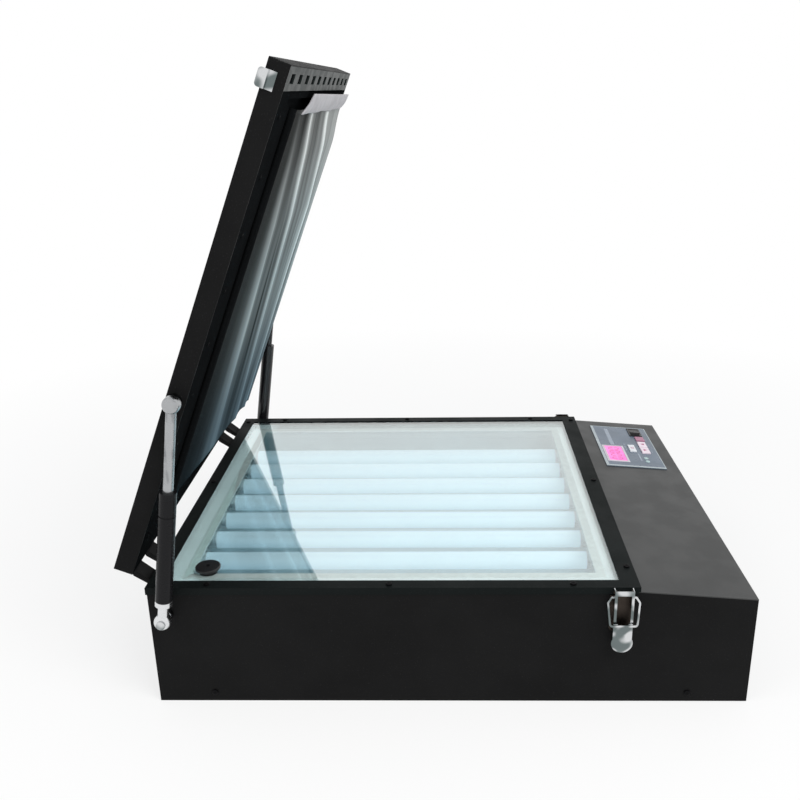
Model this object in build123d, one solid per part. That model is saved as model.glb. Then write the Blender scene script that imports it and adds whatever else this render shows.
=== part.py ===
from build123d import *
import math
import os

# Screen printing exposure unit: a light box with a glass top, a control box with
# a sloping cover on its right, and a vacuum lid hinged on its left end.
# Millimetres. +X runs from the hinge end to the control box, +Y from the near
# side to the far side and +Z up. The origin is the centre of the bottom face.
# The lid is drawn shut and then swung open about its hinge pins.

# ---- light box -----------------------------------------------------------
lamp_count = 8
lamp_pitch = 65.0
lamp_length = 590.0
lamp_end_room = 28.5
lamp_side_room = 87.5
control_box_length = 153.0
top_height = 177.4
sheet = 1.5
trim_flange = 19.0
trim_flange_right = 25.0
trim_drop = 10.0
glass_thickness = 6.0
glass_inset = 14.0
glass_edge_gap = 1.0
ledge_width = 50.0
ledge_lip = 14.0
seal_tape_width = 12.0
seal_tape_thickness = 1.0
bottom_flange = 26.0
tray_sheet = 1.0
reflector_depth = 69.5
reflector_gap = 3.0

# ---- control box ---------------------------------------------------------
cover_step = 7.1
cover_fall = 12.0
cover_lap = 3.0
cover_lip = 12.0

# ---- fixings -------------------------------------------------------------
screw_head_radius = 4.2
screw_head_height = 2.2
screw_shank_radius = 1.9
screw_length = 8.0
screw_clearance = 0.2
side_screw_inset_left = 78.0
side_screw_inset_right = 81.0
side_screw_height = 14.0
trim_screw_rows = 3
trim_screw_inset_left = 79.5
trim_screw_inset_right = 86.5
trim_screw_inset_near = 53.0
trim_screw_inset_far = 19.0
trim_screw_edge = 9.0

# ---- lamps ---------------------------------------------------------------
lamp_radius = 13.0
lamp_wall = 1.0
lamp_depth = 45.0
cap_length = 15.0
cap_wall = 0.8
pin_radius = 1.2
pin_length = 7.0
pin_spacing = 12.7
pin_clearance = 0.2
holder_thickness = 14.0
holder_width = 24.0
holder_gap = 0.3
ballast_length = 230.0
ballast_width = 38.0
ballast_height = 28.0
ballast_bevel = 4.0
ballast_pitch = 118.0
ballast_offset = 25.0
vent_slot_length = 60.0
vent_slot_width = 5.0
vent_slot_count = 8
vent_offset = 230.0

# ---- vacuum line ---------------------------------------------------------
port_inset_left = 70.0
port_inset_near = 55.0
port_radius = 17.0
port_height = 3.6
port_edge_round = 1.6
port_stem_radius = 6.0
port_bore_radius = 3.0
port_nut_radius = 12.0
port_nut_height = 6.0
port_nut_gap = 1.0
port_stem_length = 24.0
port_clearance = 0.5
hose_radius = 5.0
hose_bore_radius = 3.0
hose_height = 45.0
hose_bend = 32.0
hose_clearance = 2.0
clip_inset_left = 220.0
clip_inset_right = 187.0
clip_width = 12.0
clip_wall = 2.5
pump_inset = 74.0
pump_length = 84.0
pump_width = 56.0
pump_height = 66.0
pump_bevel = 5.0
pump_nozzle = 20.0
pump_port_depth = 6.0
motor_radius = 26.0
motor_length = 88.0
motor_foot_inset = 12.0

# ---- controls ------------------------------------------------------------
panel_from_kink = 27.0
panel_length = 104.0
panel_width = 190.0
panel_inset_far = 124.0
panel_thickness = 1.2
display_place = (25.5, 57.0)
display_size = (31.0, 66.0)
start_place = (60.0, 83.0)
start_size = (12.0, 30.0)
up_place = (82.5, 103.5)
down_place = (82.5, 76.0)
step_size = (15.0, 25.0)
vacuum_place = (83.5, 131.5)
vacuum_size = (16.0, 19.0)
rocker_place = (80.0, 165.0)
rocker_size = (16.0, 30.0)
button_height = 2.4
button_round = 0.8
button_clearance = 0.3
button_foot = 1.0
button_foot_height = 1.5
panel_board_depth = 12.0
panel_board_thickness = 1.6
panel_board_inset = 2.0
panel_board_width = 134.0
rocker_rise = 3.5
rocker_skirt = 6.0
rocker_dish = 1.6
rocker_taper = 1.2
rocker_body_depth = 24.0
rocker_bezel = 2.0
rocker_rim = 1.6
rocker_floor = 3.0
rocker_swing = 10.0
rocker_pin_radius = 1.5
running_clearance = 0.05
board_inset_left = 73.0
board_inset_far = 220.0
board_length = 110.0
board_width = 190.0
board_thickness = 1.6
board_standoff = 8.0
board_post_radius = 3.0
board_post_inset = 6.0
transformer_size = (40.0, 46.0, 36.0)
relay_size = (20.0, 16.0, 16.0)
relay_count = 3
relay_pitch = 28.0
capacitor_radius = 11.0
capacitor_height = 30.0

# ---- cooling and mains ---------------------------------------------------
fan_edge_gap = 9.0
fan_inlet_gap = 10.5
fan_height = 78.0
fan_corner = 5.0
fan_depth = 25.0
fan_rim = 3.0
fan_hub_radius = 18.0
fan_shaft_radius = 3.0
fan_spider = 4.0
fan_blades = 7
fan_blade_angle = 35.0
fan_blade_chord = 19.0
fan_blade_thickness = 1.6
fan_tip_gap = 1.5
guard_wire = 1.3
guard_rings = 4
inlet_inset = 28.0
inlet_mid_height = 70.0
inlet_width = 27.0
inlet_height = 48.0
inlet_rim = 3.0
inlet_socket_width = 19.0
inlet_socket_height = 24.0
inlet_socket_depth = 17.0
inlet_depth = 24.0
inlet_pin = (2.0, 4.0)

# ---- lid -----------------------------------------------------------------
lid_overhang = 19.0
lid_thickness = 25.0
lid_corner_round = 2.0
lid_gap = 5.0
lid_open_angle = 68.1
hinge_rise = 11.1
hinge_inset = 75.0
hinge_width = 80.0
knuckle_radius = 5.0
knuckle_gap = 1.0
hinge_pin_radius = 2.5
hinge_pin_head = 2.0
hinge_leaf = 2.0
bracket_thickness = 3.0
bracket_drop = 40.0
clamp_width = 52.0
clamp_thickness = 2.0
clamp_screw_edge = 22.0
clamp_screw_pitch = 70.0
clamp_screw_first = 50.0
clamp_screw_head = 1.6
frame_width = 50.0
backing_recess = 8.0
end_band_width = 27.0
end_band_recess = 10.0
end_slot_pitch = 55.5
end_slot_margin = 20.0
end_slot_width = 25.0
end_slot_length = 11.0

# ---- vacuum blanket ------------------------------------------------------
# The slack sheet rises from its near edge to its far side. Each crease has its
# height off that slope, then its distance from the near edge at the hinge end,
# halfway and at the free end.
blanket_inset_near = 132.0
blanket_inset_far = 53.0
blanket_inset_hinge = 56.0
blanket_inset_end = 38.0
blanket_middle = 450.0
blanket_rise = (17.0, 12.0, 12.0)
blanket_relief = (0.4, 1.0, 1.0)
blanket_edge = 2.0
blanket_turn = 18.0
blanket_creases = (
    (2.6, 190.0, 90.0, 21.0),
    (-1.8, 270.0, 182.0, 97.0),
    (3.0, 330.0, 213.0, 119.0),
    (-3.0, 365.0, 333.0, 226.0),
    (3.5, 392.0, 363.0, 269.0),
    (-3.0, 412.0, 405.0, 367.0),
)
soft_gap = 0.3

# ---- draw latches and their catches ----------------------------------------
latch_inset = 23.0
latch_plate_width = 32.0
latch_plate_length = 54.0
latch_plate_round = 6.0
latch_plate_thickness = 1.5
latch_plate_drop = 11.4
latch_ear_thickness = 1.5
latch_ear_length = 16.0
latch_pivot_out = 7.0
latch_pivot_drop = 3.4
latch_pin_radius = 1.6
latch_boss_radius = 3.4
lever_width = 25.0
lever_sheet = 1.2
lever_length = 87.0
lever_tip_radius = 14.0
lever_head = 4.0
lever_depth = 10.0
lever_dome = 3.5
lever_window = (18.4, 44.0)
lever_window_drop = 2.5
lever_side_gap = 0.3
bail_wire = 1.6
bail_drop = 7.0
bail_shoulder = 20.5
bail_shoulder_drop = 7.0
bail_foot = 17.5
bail_length = 38.5
bail_tilt = 13.0
bail_bend = 3.5
catch_width = 21.0
catch_low = 11.0
catch_thickness = 1.2
catch_reach = 7.0
catch_lip = 9.5
catch_corner = 4.0

# ---- gas struts ----------------------------------------------------------
strut_out = 16.0
strut_base_inset = 25.0
strut_base_drop = 39.4
strut_lid_reach = 254.7
strut_lid_height = 13.0
strut_socket_radius = 11.0
strut_socket_half = 9.0
strut_socket_round = 6.5
strut_neck_radius = 7.0
strut_neck_length = 25.0
strut_body_radius = 11.0
strut_body_length = 163.0
strut_collar_length = 32.0
strut_groove = 0.8
strut_groove_width = 2.0
strut_end_wall = 6.0
strut_bore_radius = 9.0
strut_rod_radius = 6.5
strut_rod_engaged = 34.0
strut_piston_length = 10.0
stud_radius = 4.0
stud_base_radius = 9.0
stud_base_thickness = 3.0
stud_head_height = 2.5
stud_head_lap = 2.0
pivot_gap = 0.3

# ---- places worked out from the sizes above --------------------------------
light_box_length = lamp_length + 2 * lamp_end_room
overall_length = light_box_length + control_box_length
overall_width = (lamp_count - 1) * lamp_pitch + 2 * lamp_side_room
left = -overall_length / 2
right = overall_length / 2
near = -overall_width / 2
far = overall_width / 2
box_right = left + light_box_length
wall_left = left + sheet
wall_near = near + sheet
wall_far = far - sheet
inner_left = wall_left + sheet
inner_right = right - sheet
inner_near = wall_near + sheet
inner_far = wall_far - sheet
trim_under = top_height - sheet
glass_under = trim_under - glass_thickness
ledge_top = glass_under - seal_tape_thickness
ledge_under = ledge_top - sheet
partition_x = box_right - cover_lap
glass_left = left + glass_inset
glass_right = box_right - glass_inset
glass_near = near + glass_inset
glass_far = far - glass_inset
open_left = left + ledge_width
open_right = box_right - ledge_width
open_near = near + ledge_width
open_far = far - ledge_width
tray_floor = ledge_under - reflector_depth
tray_left = inner_left + sheet + reflector_gap
tray_right = partition_x - sheet - reflector_gap
tray_near = inner_near + sheet + reflector_gap
tray_far = inner_far - sheet - reflector_gap
lamp_x = (left + trim_flange + box_right - trim_flange_right) / 2
lamp_z = trim_under - lamp_depth
port_x = left + port_inset_left
port_y = near + port_inset_near
pump_x = right - pump_inset
fan_size = control_box_length - fan_edge_gap - fan_inlet_gap - inlet_width / 2 - inlet_inset
fan_duct_radius = fan_size / 2 - fan_rim
fan_x = box_right + fan_edge_gap + fan_size / 2
inlet_x = right - inlet_inset
cover_high = top_height - cover_step
slope = math.atan(cover_fall / control_box_length)
cover_plane = Plane(
    origin=(box_right, 0, cover_high),
    x_dir=(math.cos(slope), 0, -math.sin(slope)),
    z_dir=(math.sin(slope), 0, math.cos(slope)),
)
panel_near = far - panel_inset_far - panel_width / 2
lid_under = top_height + lid_gap
lid_top = lid_under + lid_thickness
lid_length = light_box_length + lid_overhang
lid_left = box_right - lid_length
hinge_x = lid_left - hinge_leaf - knuckle_gap - knuckle_radius
hinge_height = lid_under + hinge_rise
hinge_axis = Axis((hinge_x, 0, hinge_height), (0, 1, 0))
latch_x = box_right - latch_inset
latch_pivot_y = wall_near - latch_plate_thickness - latch_pivot_out
latch_pivot_height = top_height - latch_pivot_drop
strut_y = near - strut_out
strut_base_x = left + strut_base_inset
strut_base_height = top_height - strut_base_drop


def block(x0, x1, y0, y1, z0, z1):
    """Solid box between two limits along each axis."""
    size = Box(x1 - x0, y1 - y0, z1 - z0)
    return Pos((x0 + x1) / 2, (y0 + y1) / 2, (z0 + z1) / 2) * size


def centred_block(x, y, z0, size):
    """Box that stands at height z0 with its middle over x and y."""
    length, width, height = size
    return Pos(x, y, z0 + height / 2) * Box(length, width, height)


def rod_x(x0, x1, y, z, radius):
    return Pos((x0 + x1) / 2, y, z) * Rot(0, 90, 0) * Cylinder(radius, abs(x1 - x0))


def rod_y(y0, y1, x, z, radius):
    return Pos(x, (y0 + y1) / 2, z) * Rot(90, 0, 0) * Cylinder(radius, abs(y1 - y0))


def rod_z(z0, z1, x, y, radius):
    return Pos(x, y, (z0 + z1) / 2) * Cylinder(radius, abs(z1 - z0))


def slab_xz(points, y0, y1):
    """Straight-sided slab whose outline is drawn in X and Z."""
    side = Plane(origin=(0, y0, 0), x_dir=(1, 0, 0), z_dir=(0, -1, 0))
    return extrude(side * Polygon(*points, align=None), amount=y1 - y0, dir=(0, 1, 0))


def ring(x0, x1, y0, y1, z0, z1, wide_left, wide_right, wide_side):
    """Flat rectangular frame with its own width on each side."""
    outer = block(x0, x1, y0, y1, z0, z1)
    hole = block(x0 + wide_left, x1 - wide_right, y0 + wide_side, y1 - wide_side, z0 - 1, z1 + 1)
    return outer - hole


def mirrored(shape):
    """The same piece on the other side of the cabinet's middle plane."""
    return shape.mirror(Plane.XZ)


def both_sides(shape):
    return [shape, mirrored(shape)]


def opened(shape):
    """Swing a piece of the shut lid to its open position."""
    return shape.rotate(hinge_axis, -lid_open_angle)


def opened_point(x, z):
    """Where a point of the shut lid lies once the lid is open."""
    angle = math.radians(lid_open_angle)
    dx = x - hinge_x
    dz = z - hinge_height
    x_open = hinge_x + dx * math.cos(angle) - dz * math.sin(angle)
    return x_open, hinge_height + dx * math.sin(angle) + dz * math.cos(angle)


def save(name, shapes):
    """Write one named node; a list becomes a group of separate solids."""
    solids = shapes if isinstance(shapes, list) else [shapes]
    pieces = [solid for shape in solids for solid in shape.solids()]
    export_step(Compound(pieces), os.path.join("parts", name + ".step"))


def screw_down(x, y, z):
    """Pan head screw standing on a face at height z, shank pointing down."""
    head = rod_z(z, z + screw_head_height, x, y, screw_head_radius)
    head = fillet(head.edges().group_by(Axis.Z)[-1], screw_head_height * 0.45)
    return head + rod_z(z - screw_length, z, x, y, screw_shank_radius)


def screw_hole(x, y, z0, z1):
    return rod_z(z0 - 1, z1 + 1, x, y, screw_shank_radius + screw_clearance)


def side_screw(x, y, z):
    """Pan head screw on the near wall, shank pointing into the cabinet."""
    head = rod_y(y - screw_head_height, y, x, z, screw_head_radius)
    head = fillet(head.edges().group_by(Axis.Y)[0], screw_head_height * 0.45)
    return head + rod_y(y, y + screw_length, x, z, screw_shank_radius)


def side_screw_hole(x, y0, y1):
    return rod_y(y0 - 1, y1 + 1, x, side_screw_height, screw_shank_radius + screw_clearance)


def spread(first, last, count):
    """Evenly spaced places from the first to the last."""
    return [first + (last - first) * number / (count - 1) for number in range(count)]


def cover_z(x):
    """Height of the control cover's upper face."""
    return cover_high - max(0.0, x - box_right) * math.tan(slope)


# ---- cabinet sheet metal ----------------------------------------------------
def side_screw_places():
    return [left + side_screw_inset_left, right - side_screw_inset_right]


def side_wall():
    """Near wall: level under the glass trim, sloping under the control cover."""
    outline = [
        (wall_left, 0),
        (right, 0),
        (right, cover_z(right) - sheet),
        (box_right, cover_high - sheet),
        (partition_x, cover_high - sheet),
        (partition_x, trim_under),
        (wall_left, trim_under),
    ]
    wall = slab_xz(outline, wall_near, inner_near)
    for x in side_screw_places():
        wall -= side_screw_hole(x, wall_near, inner_near)
    return wall - rod_y(wall_near - 1, inner_near + 1, strut_base_x, strut_base_height, stud_radius)


def cabinet_shell():
    shell = side_wall() + mirrored(side_wall())
    shell += block(wall_left, inner_left, wall_near, wall_far, 0, trim_under)
    shell += block(inner_right, right, wall_near, wall_far, 0, cover_z(right) - sheet)
    duct = rod_y(inner_far - 1, far + 1, fan_x, fan_height, fan_duct_radius)
    socket = block(
        inlet_x - inlet_width / 2,
        inlet_x + inlet_width / 2,
        inner_far - 1,
        far + 1,
        inlet_mid_height - inlet_height / 2,
        inlet_mid_height + inlet_height / 2,
    )
    return shell - duct - socket


def bottom_tray():
    """Floor of the cabinet with its upturned edges and two rows of air slots."""
    tray = block(inner_left, inner_right, inner_near, inner_far, 0, bottom_flange)
    tray -= block(
        inner_left + sheet,
        inner_right - sheet,
        inner_near + sheet,
        inner_far - sheet,
        sheet,
        bottom_flange + 1,
    )
    for x in side_screw_places():
        tray -= side_screw_hole(x, inner_near, inner_near + sheet)
        tray -= side_screw_hole(x, inner_far - sheet, inner_far)
    half_run = vent_slot_width * 1.5 * (vent_slot_count - 1)
    for middle in (lamp_x - vent_offset, lamp_x + vent_offset):
        for x in spread(middle - half_run, middle + half_run, vent_slot_count):
            slot = centred_block(x, 0, -1, (vent_slot_width, vent_slot_length, sheet + 2))
            tray -= slot
    return tray


def on_panel(place):
    """Cover coordinates of a place measured from the panel's low near corner."""
    return panel_from_kink + place[0], panel_near + place[1]


def panel_cut(place, size, margin):
    """Cutter through panel and cover round one control."""
    u, v = on_panel(place)
    depth = 4 * (sheet + panel_thickness)
    return cover_plane * Pos(u, v, 0) * Box(size[0] + 2 * margin, size[1] + 2 * margin, depth)


def control_cuts():
    """Openings that panel and cover share."""
    cuts = panel_cut(display_place, display_size, 0) + panel_cut(rocker_place, rocker_size, rocker_bezel)
    for place, size in button_places():
        cuts += panel_cut(place, size, button_clearance)
    return cuts


def button_places():
    return [
        (start_place, start_size),
        (up_place, step_size),
        (down_place, step_size),
        (vacuum_place, vacuum_size),
    ]


def control_cover():
    """Sloping cover, level where it passes under the trim, with a lip inside the end wall."""
    outline = [
        (partition_x, cover_high),
        (box_right, cover_high),
        (right, cover_z(right)),
        (right, cover_z(right) - sheet),
        (box_right, cover_high - sheet),
        (partition_x, cover_high - sheet),
    ]
    cover = slab_xz(outline, wall_near, wall_far)
    lip_x = inner_right - sheet
    lip_top = cover_z(inner_right) - sheet / 2
    cover += block(lip_x, inner_right, inner_near, inner_far, lip_top - cover_lip, lip_top)
    return cover - control_cuts()


def partition_wall():
    wall = block(partition_x, partition_x + sheet, inner_near + sheet, inner_far - sheet, sheet,
                 cover_high - sheet)
    hose_hole = hose_radius + hose_clearance
    return wall - rod_x(partition_x - 1, partition_x + sheet + 1, port_y, hose_height, hose_hole)


def glass_ledge():
    """Pale shelf that carries the glass, with a lip down the inside of the walls."""
    flat = ring(inner_left, partition_x, inner_near, inner_far, ledge_under, ledge_top,
                open_left - inner_left, partition_x - open_right, open_near - inner_near)
    lip = ring(inner_left, partition_x, inner_near, inner_far, ledge_under - ledge_lip, ledge_under,
               sheet, sheet, sheet)
    return flat + lip - rod_z(ledge_under - 1, ledge_top + 1, port_x, port_y, port_nut_radius + port_nut_gap)


def glass_seal_tape():
    tape = ring(open_left - seal_tape_width, open_right + seal_tape_width,
                open_near - seal_tape_width, open_far + seal_tape_width,
                ledge_top, glass_under, seal_tape_width, seal_tape_width, seal_tape_width)
    return tape - rod_z(ledge_top - 1, glass_under + 1, port_x, port_y, port_nut_radius + port_nut_gap)


def glass_spacer():
    """Bar frame round the glass that keeps the trim level and takes its screws."""
    edge = glass_inset - glass_edge_gap - 2 * sheet
    edge_right = glass_inset - glass_edge_gap - cover_lap
    spacer = ring(
        inner_left, partition_x, inner_near, inner_far, ledge_top, trim_under, edge, edge_right, edge
    )
    for x, y in trim_screw_places():
        spacer -= screw_hole(x, y, ledge_top, trim_under)
    return spacer


def exposure_glass():
    glass = block(glass_left, glass_right, glass_near, glass_far, glass_under, trim_under)
    return glass - rod_z(glass_under - 1, trim_under + 1, port_x, port_y, port_stem_radius + port_clearance)


def trim_screw_places():
    """Screws along the trim's two long and two short strips."""
    along = spread(left + trim_screw_inset_left, box_right - trim_screw_inset_right, trim_screw_rows)
    across = spread(near + trim_screw_inset_near, far - trim_screw_inset_far, trim_screw_rows)
    places = [(x, near + trim_screw_edge) for x in along]
    places += [(x, far - trim_screw_edge) for x in along]
    places += [(left + trim_screw_edge, y) for y in across]
    places += [(box_right - trim_screw_edge, y) for y in across]
    return places


def glass_trim():
    """Black frame over the glass edge; its rim hangs outside the walls and stands on the cover."""
    flat = ring(
        left, box_right, near, far, trim_under, top_height, trim_flange, trim_flange_right, trim_flange
    )
    drop = ring(left, box_right, near, far, top_height - trim_drop, trim_under, sheet, sheet, sheet)
    drop -= block(partition_x, box_right + 1, near - 1, far + 1, top_height - trim_drop - 1, cover_high)
    trim = flat + drop
    for x, y in trim_screw_places():
        trim -= screw_hole(x, y, trim_under, top_height)
    return trim


def cabinet_screws():
    """Screws of the trim and of the cabinet's two long walls."""
    low = [side_screw(x, wall_near, side_screw_height) for x in side_screw_places()]
    low += [mirrored(screw) for screw in low]
    return low + [screw_down(x, y, top_height) for x, y in trim_screw_places()]


# ---- lamps and their gear -----------------------------------------------------
def reflector_tray():
    """White tray under the lamps; its walls reach up to the ledge."""
    tray = block(tray_left, tray_right, tray_near, tray_far, tray_floor, ledge_under)
    tray -= block(
        tray_left + tray_sheet,
        tray_right - tray_sheet,
        tray_near + tray_sheet,
        tray_far - tray_sheet,
        tray_floor + tray_sheet,
        ledge_under + 1,
    )
    hose_hole = hose_radius + hose_clearance
    return tray - rod_z(tray_floor - 1, tray_floor + tray_sheet + 1, port_x, port_y, hose_hole)


def lamp_rows():
    half_run = (lamp_count - 1) * lamp_pitch / 2
    return spread(-half_run, half_run, lamp_count)


def lamp_tube(y):
    """Glass tube between its two caps."""
    half = lamp_length / 2 - cap_length
    tube = rod_x(lamp_x - half, lamp_x + half, y, lamp_z, lamp_radius)
    return tube - rod_x(lamp_x - half - 1, lamp_x + half + 1, y, lamp_z, lamp_radius - lamp_wall)


def pin_heights():
    return (lamp_z - pin_spacing / 2, lamp_z + pin_spacing / 2)


def lamp_cap(y, side):
    """Metal end cap with its two pins; side is -1 at the left end and 1 at the right."""
    inside = lamp_x + side * (lamp_length / 2 - cap_length)
    outside = lamp_x + side * lamp_length / 2
    end_wall = outside - side * cap_wall
    cap = rod_x(inside, outside, y, lamp_z, lamp_radius)
    cap -= rod_x(inside - side, end_wall, y, lamp_z, lamp_radius - lamp_wall)
    for z in pin_heights():
        cap += rod_x(end_wall, outside + side * pin_length, y, z, pin_radius)
    return cap


def lampholder(y, side):
    """Upright holder that stands on the reflector floor and takes the cap's two pins."""
    face = lamp_x + side * (lamp_length / 2 + holder_gap)
    back = face + side * holder_thickness
    floor = tray_floor + tray_sheet
    half = holder_width / 2
    holder = block(min(face, back), max(face, back), y - half, y + half, floor, lamp_z)
    holder += rod_x(face, back, y, lamp_z, holder_width / 2)
    for z in pin_heights():
        holder -= rod_x(face, face + side * (pin_length + pin_clearance), y, z, pin_radius + pin_clearance)
    return holder


def at_both_lamp_ends(piece):
    return [piece(y, side) for y in lamp_rows() for side in (-1, 1)]


def ballasts():
    """One ballast for each pair of lamps."""
    count = math.ceil(lamp_count / 2)
    half_run = (count - 1) * ballast_pitch / 2
    cases = []
    for y in spread(ballast_offset - half_run, ballast_offset + half_run, count):
        case = centred_block(lamp_x, y, sheet, (ballast_length, ballast_width, ballast_height))
        cases.append(chamfer(case.edges().filter_by(Axis.X).group_by(Axis.Z)[-1], ballast_bevel))
    return cases


# ---- vacuum line ------------------------------------------------------------
def vacuum_port():
    """Suction grommet on the glass, its stem and its nut under the glass."""
    disc = rod_z(trim_under, trim_under + port_height, port_x, port_y, port_radius)
    disc = fillet(disc.edges().group_by(Axis.Z)[-1], port_edge_round)
    stem_end = trim_under - port_stem_length
    port = disc + rod_z(stem_end, trim_under, port_x, port_y, port_stem_radius)
    port += rod_z(glass_under - port_nut_height, glass_under, port_x, port_y, port_nut_radius)
    return port - rod_z(stem_end - 1, trim_under + port_height + 1, port_x, port_y, port_bore_radius)


def vacuum_hose():
    """Hose from the port's stem down through the reflector and along the floor to the pump."""
    start = (port_x, port_y, trim_under - port_stem_length)
    corner = (port_x, port_y, hose_height)
    end = (pump_x - pump_length / 2 - pump_nozzle, port_y, hose_height)
    path = FilletPolyline(start, corner, end, radius=hose_bend)
    mouth = Plane(origin=path @ 0, z_dir=path % 0)
    outer = sweep(mouth * Circle(hose_radius), path)
    return outer - sweep(mouth * Circle(hose_bore_radius), path)


def hose_clips():
    clips = []
    for x in (left + clip_inset_left, box_right - clip_inset_right):
        x0 = x - clip_width / 2
        x1 = x + clip_width / 2
        collar = rod_x(x0, x1, port_y, hose_height, hose_radius + clip_wall)
        foot = block(x0, x1, port_y - clip_wall, port_y + clip_wall, sheet, hose_height)
        clips.append(collar + foot - rod_x(x0 - 1, x1 + 1, port_y, hose_height, hose_radius + soft_gap))
    return clips


def vacuum_pump():
    """Pump head with its inlet nozzle, and its motor beside it on a foot."""
    low = pump_x - pump_length / 2
    pump = centred_block(pump_x, port_y, sheet, (pump_length, pump_width, pump_height))
    pump = chamfer(pump.edges().filter_by(Axis.Y), pump_bevel)
    pump += rod_x(low - pump_nozzle, low, port_y, hose_height, hose_radius)
    pump -= rod_x(low - pump_nozzle - 1, low + pump_port_depth, port_y, hose_height, hose_bore_radius)
    y0 = port_y + pump_width / 2
    y1 = y0 + motor_length
    z = sheet + pump_height / 2
    motor = rod_y(y0, y1, pump_x, z, motor_radius)
    motor += block(pump_x - motor_radius, pump_x + motor_radius, y0 + motor_foot_inset,
                   y1 - motor_foot_inset, sheet, z - motor_radius / 2)
    return [pump, motor]


# ---- controls ---------------------------------------------------------------
def control_panel():
    middle_u = panel_from_kink + panel_length / 2
    middle_v = panel_near + panel_width / 2
    plate = Pos(middle_u, middle_v, panel_thickness / 2) * Box(panel_length, panel_width, panel_thickness)
    return cover_plane * plate - control_cuts()


def panel_display():
    """Display window in its opening, with the circuit board that hangs under the cover."""
    u, v = on_panel(display_place)
    depth = panel_board_depth
    window = Pos(u, v, (panel_thickness - depth) / 2) * Box(*display_size, panel_thickness + depth)
    board_u = panel_from_kink + panel_length / 2
    board_v = panel_near + panel_board_inset + panel_board_width / 2
    length = panel_length - 2 * panel_board_inset
    board = Pos(board_u, board_v, -depth - panel_board_thickness / 2) * Box(length, panel_board_width,
                                                                             panel_board_thickness)
    body = window + board
    post_u = length / 2 - board_post_inset
    post_v = panel_board_width / 2 - board_post_inset
    post = Cylinder(board_post_radius, depth - sheet)
    for du, dv in ((-post_u, -post_v), (-post_u, post_v), (post_u, -post_v), (post_u, post_v)):
        body += Pos(board_u + du, board_v + dv, -(sheet + depth) / 2) * post
    return cover_plane * body


def button(place, size):
    """Push button in its opening, with a wider foot under the cover that keeps it in."""
    u, v = on_panel(place)
    top = panel_thickness + button_height
    foot_top = -sheet - button_clearance
    cap = Pos(0, 0, (top + foot_top) / 2) * Box(size[0], size[1], top - foot_top)
    cap = fillet(cap.edges().group_by(Axis.Z)[-1], button_round)
    foot_size = (size[0] + 2 * button_foot, size[1] + 2 * button_foot, button_foot_height)
    return cover_plane * Pos(u, v, 0) * (cap + Pos(0, 0, foot_top - button_foot_height / 2) * Box(*foot_size))


def rocker_frame():
    """Bezel and body of the mains switch, with bearings for the rocker."""
    u, v = on_panel(rocker_place)
    length = rocker_size[0] + 2 * rocker_bezel
    width = rocker_size[1] + 2 * rocker_bezel
    bottom = -rocker_body_depth
    body = Pos(0, 0, (panel_thickness + bottom) / 2) * Box(length, width, panel_thickness - bottom)
    rim_size = (length + 2 * rocker_rim, width + 2 * rocker_rim, rocker_rim)
    frame = body + Pos(0, 0, panel_thickness + rocker_rim / 2) * Box(*rim_size)
    pocket_top = panel_thickness + rocker_rim + 1
    pocket_floor = bottom + rocker_floor
    pocket = Box(rocker_size[0] + 2 * button_clearance, rocker_size[1] + 2 * button_clearance,
                 pocket_top - pocket_floor)
    frame -= Pos(0, 0, (pocket_top + pocket_floor) / 2) * pocket
    bearing = Rot(0, 90, 0) * Cylinder(rocker_pin_radius + running_clearance, rocker_size[0] + rocker_bezel)
    return cover_plane * Pos(u, v, 0) * (frame - Pos(0, 0, -rocker_rise) * bearing)


def power_rocker():
    """Dished rocker on its cross pin, resting with its far end pressed down."""
    u, v = on_panel(rocker_place)
    half = rocker_size[1] / 2
    top = panel_thickness + rocker_rise
    outline = Polyline(
        (-half + 1, -rocker_skirt),
        (-half + rocker_taper, top),
        (0, top - rocker_dish),
        (half - rocker_taper, top),
        (half - 1, -rocker_skirt),
        close=True,
    )
    body = extrude(Plane.YZ * make_face(outline), rocker_size[0] / 2, both=True)
    pin_length_x = rocker_size[0] + rocker_bezel - 2 * running_clearance
    body += Pos(0, 0, -rocker_rise) * Rot(0, 90, 0) * Cylinder(rocker_pin_radius, pin_length_x)
    tilted = Pos(0, 0, -rocker_rise) * Rot(-rocker_swing, 0, 0) * Pos(0, 0, rocker_rise) * body
    return cover_plane * Pos(u, v, 0) * tilted


def controller_board():
    """Timer and relay board on four pillars, with its larger components."""
    middle_x = box_right + board_inset_left
    middle_y = far - board_inset_far
    z = sheet + board_standoff
    top = z + board_thickness
    x1 = middle_x + board_length / 2
    x0 = middle_x - board_length / 2
    y0 = middle_y - board_width / 2
    y1 = middle_y + board_width / 2
    board = block(x0, x1, y0, y1, z, top)
    for x in (x0 + board_post_inset, x1 - board_post_inset):
        for y in (y0 + board_post_inset, y1 - board_post_inset):
            board += rod_z(sheet, z, x, y, board_post_radius)
    transformer_x = x0 + 2 * board_post_inset + transformer_size[0] / 2
    board += centred_block(transformer_x, y0 + transformer_size[1], top, transformer_size)
    relay_x = x1 - 2 * board_post_inset - relay_size[0] / 2
    for number in range(relay_count):
        board += centred_block(relay_x, middle_y + number * relay_pitch, top, relay_size)
    capacitor_y = y1 - 3 * capacitor_radius
    return board + rod_z(top, top + capacitor_height, transformer_x, capacitor_y, capacitor_radius)


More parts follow.
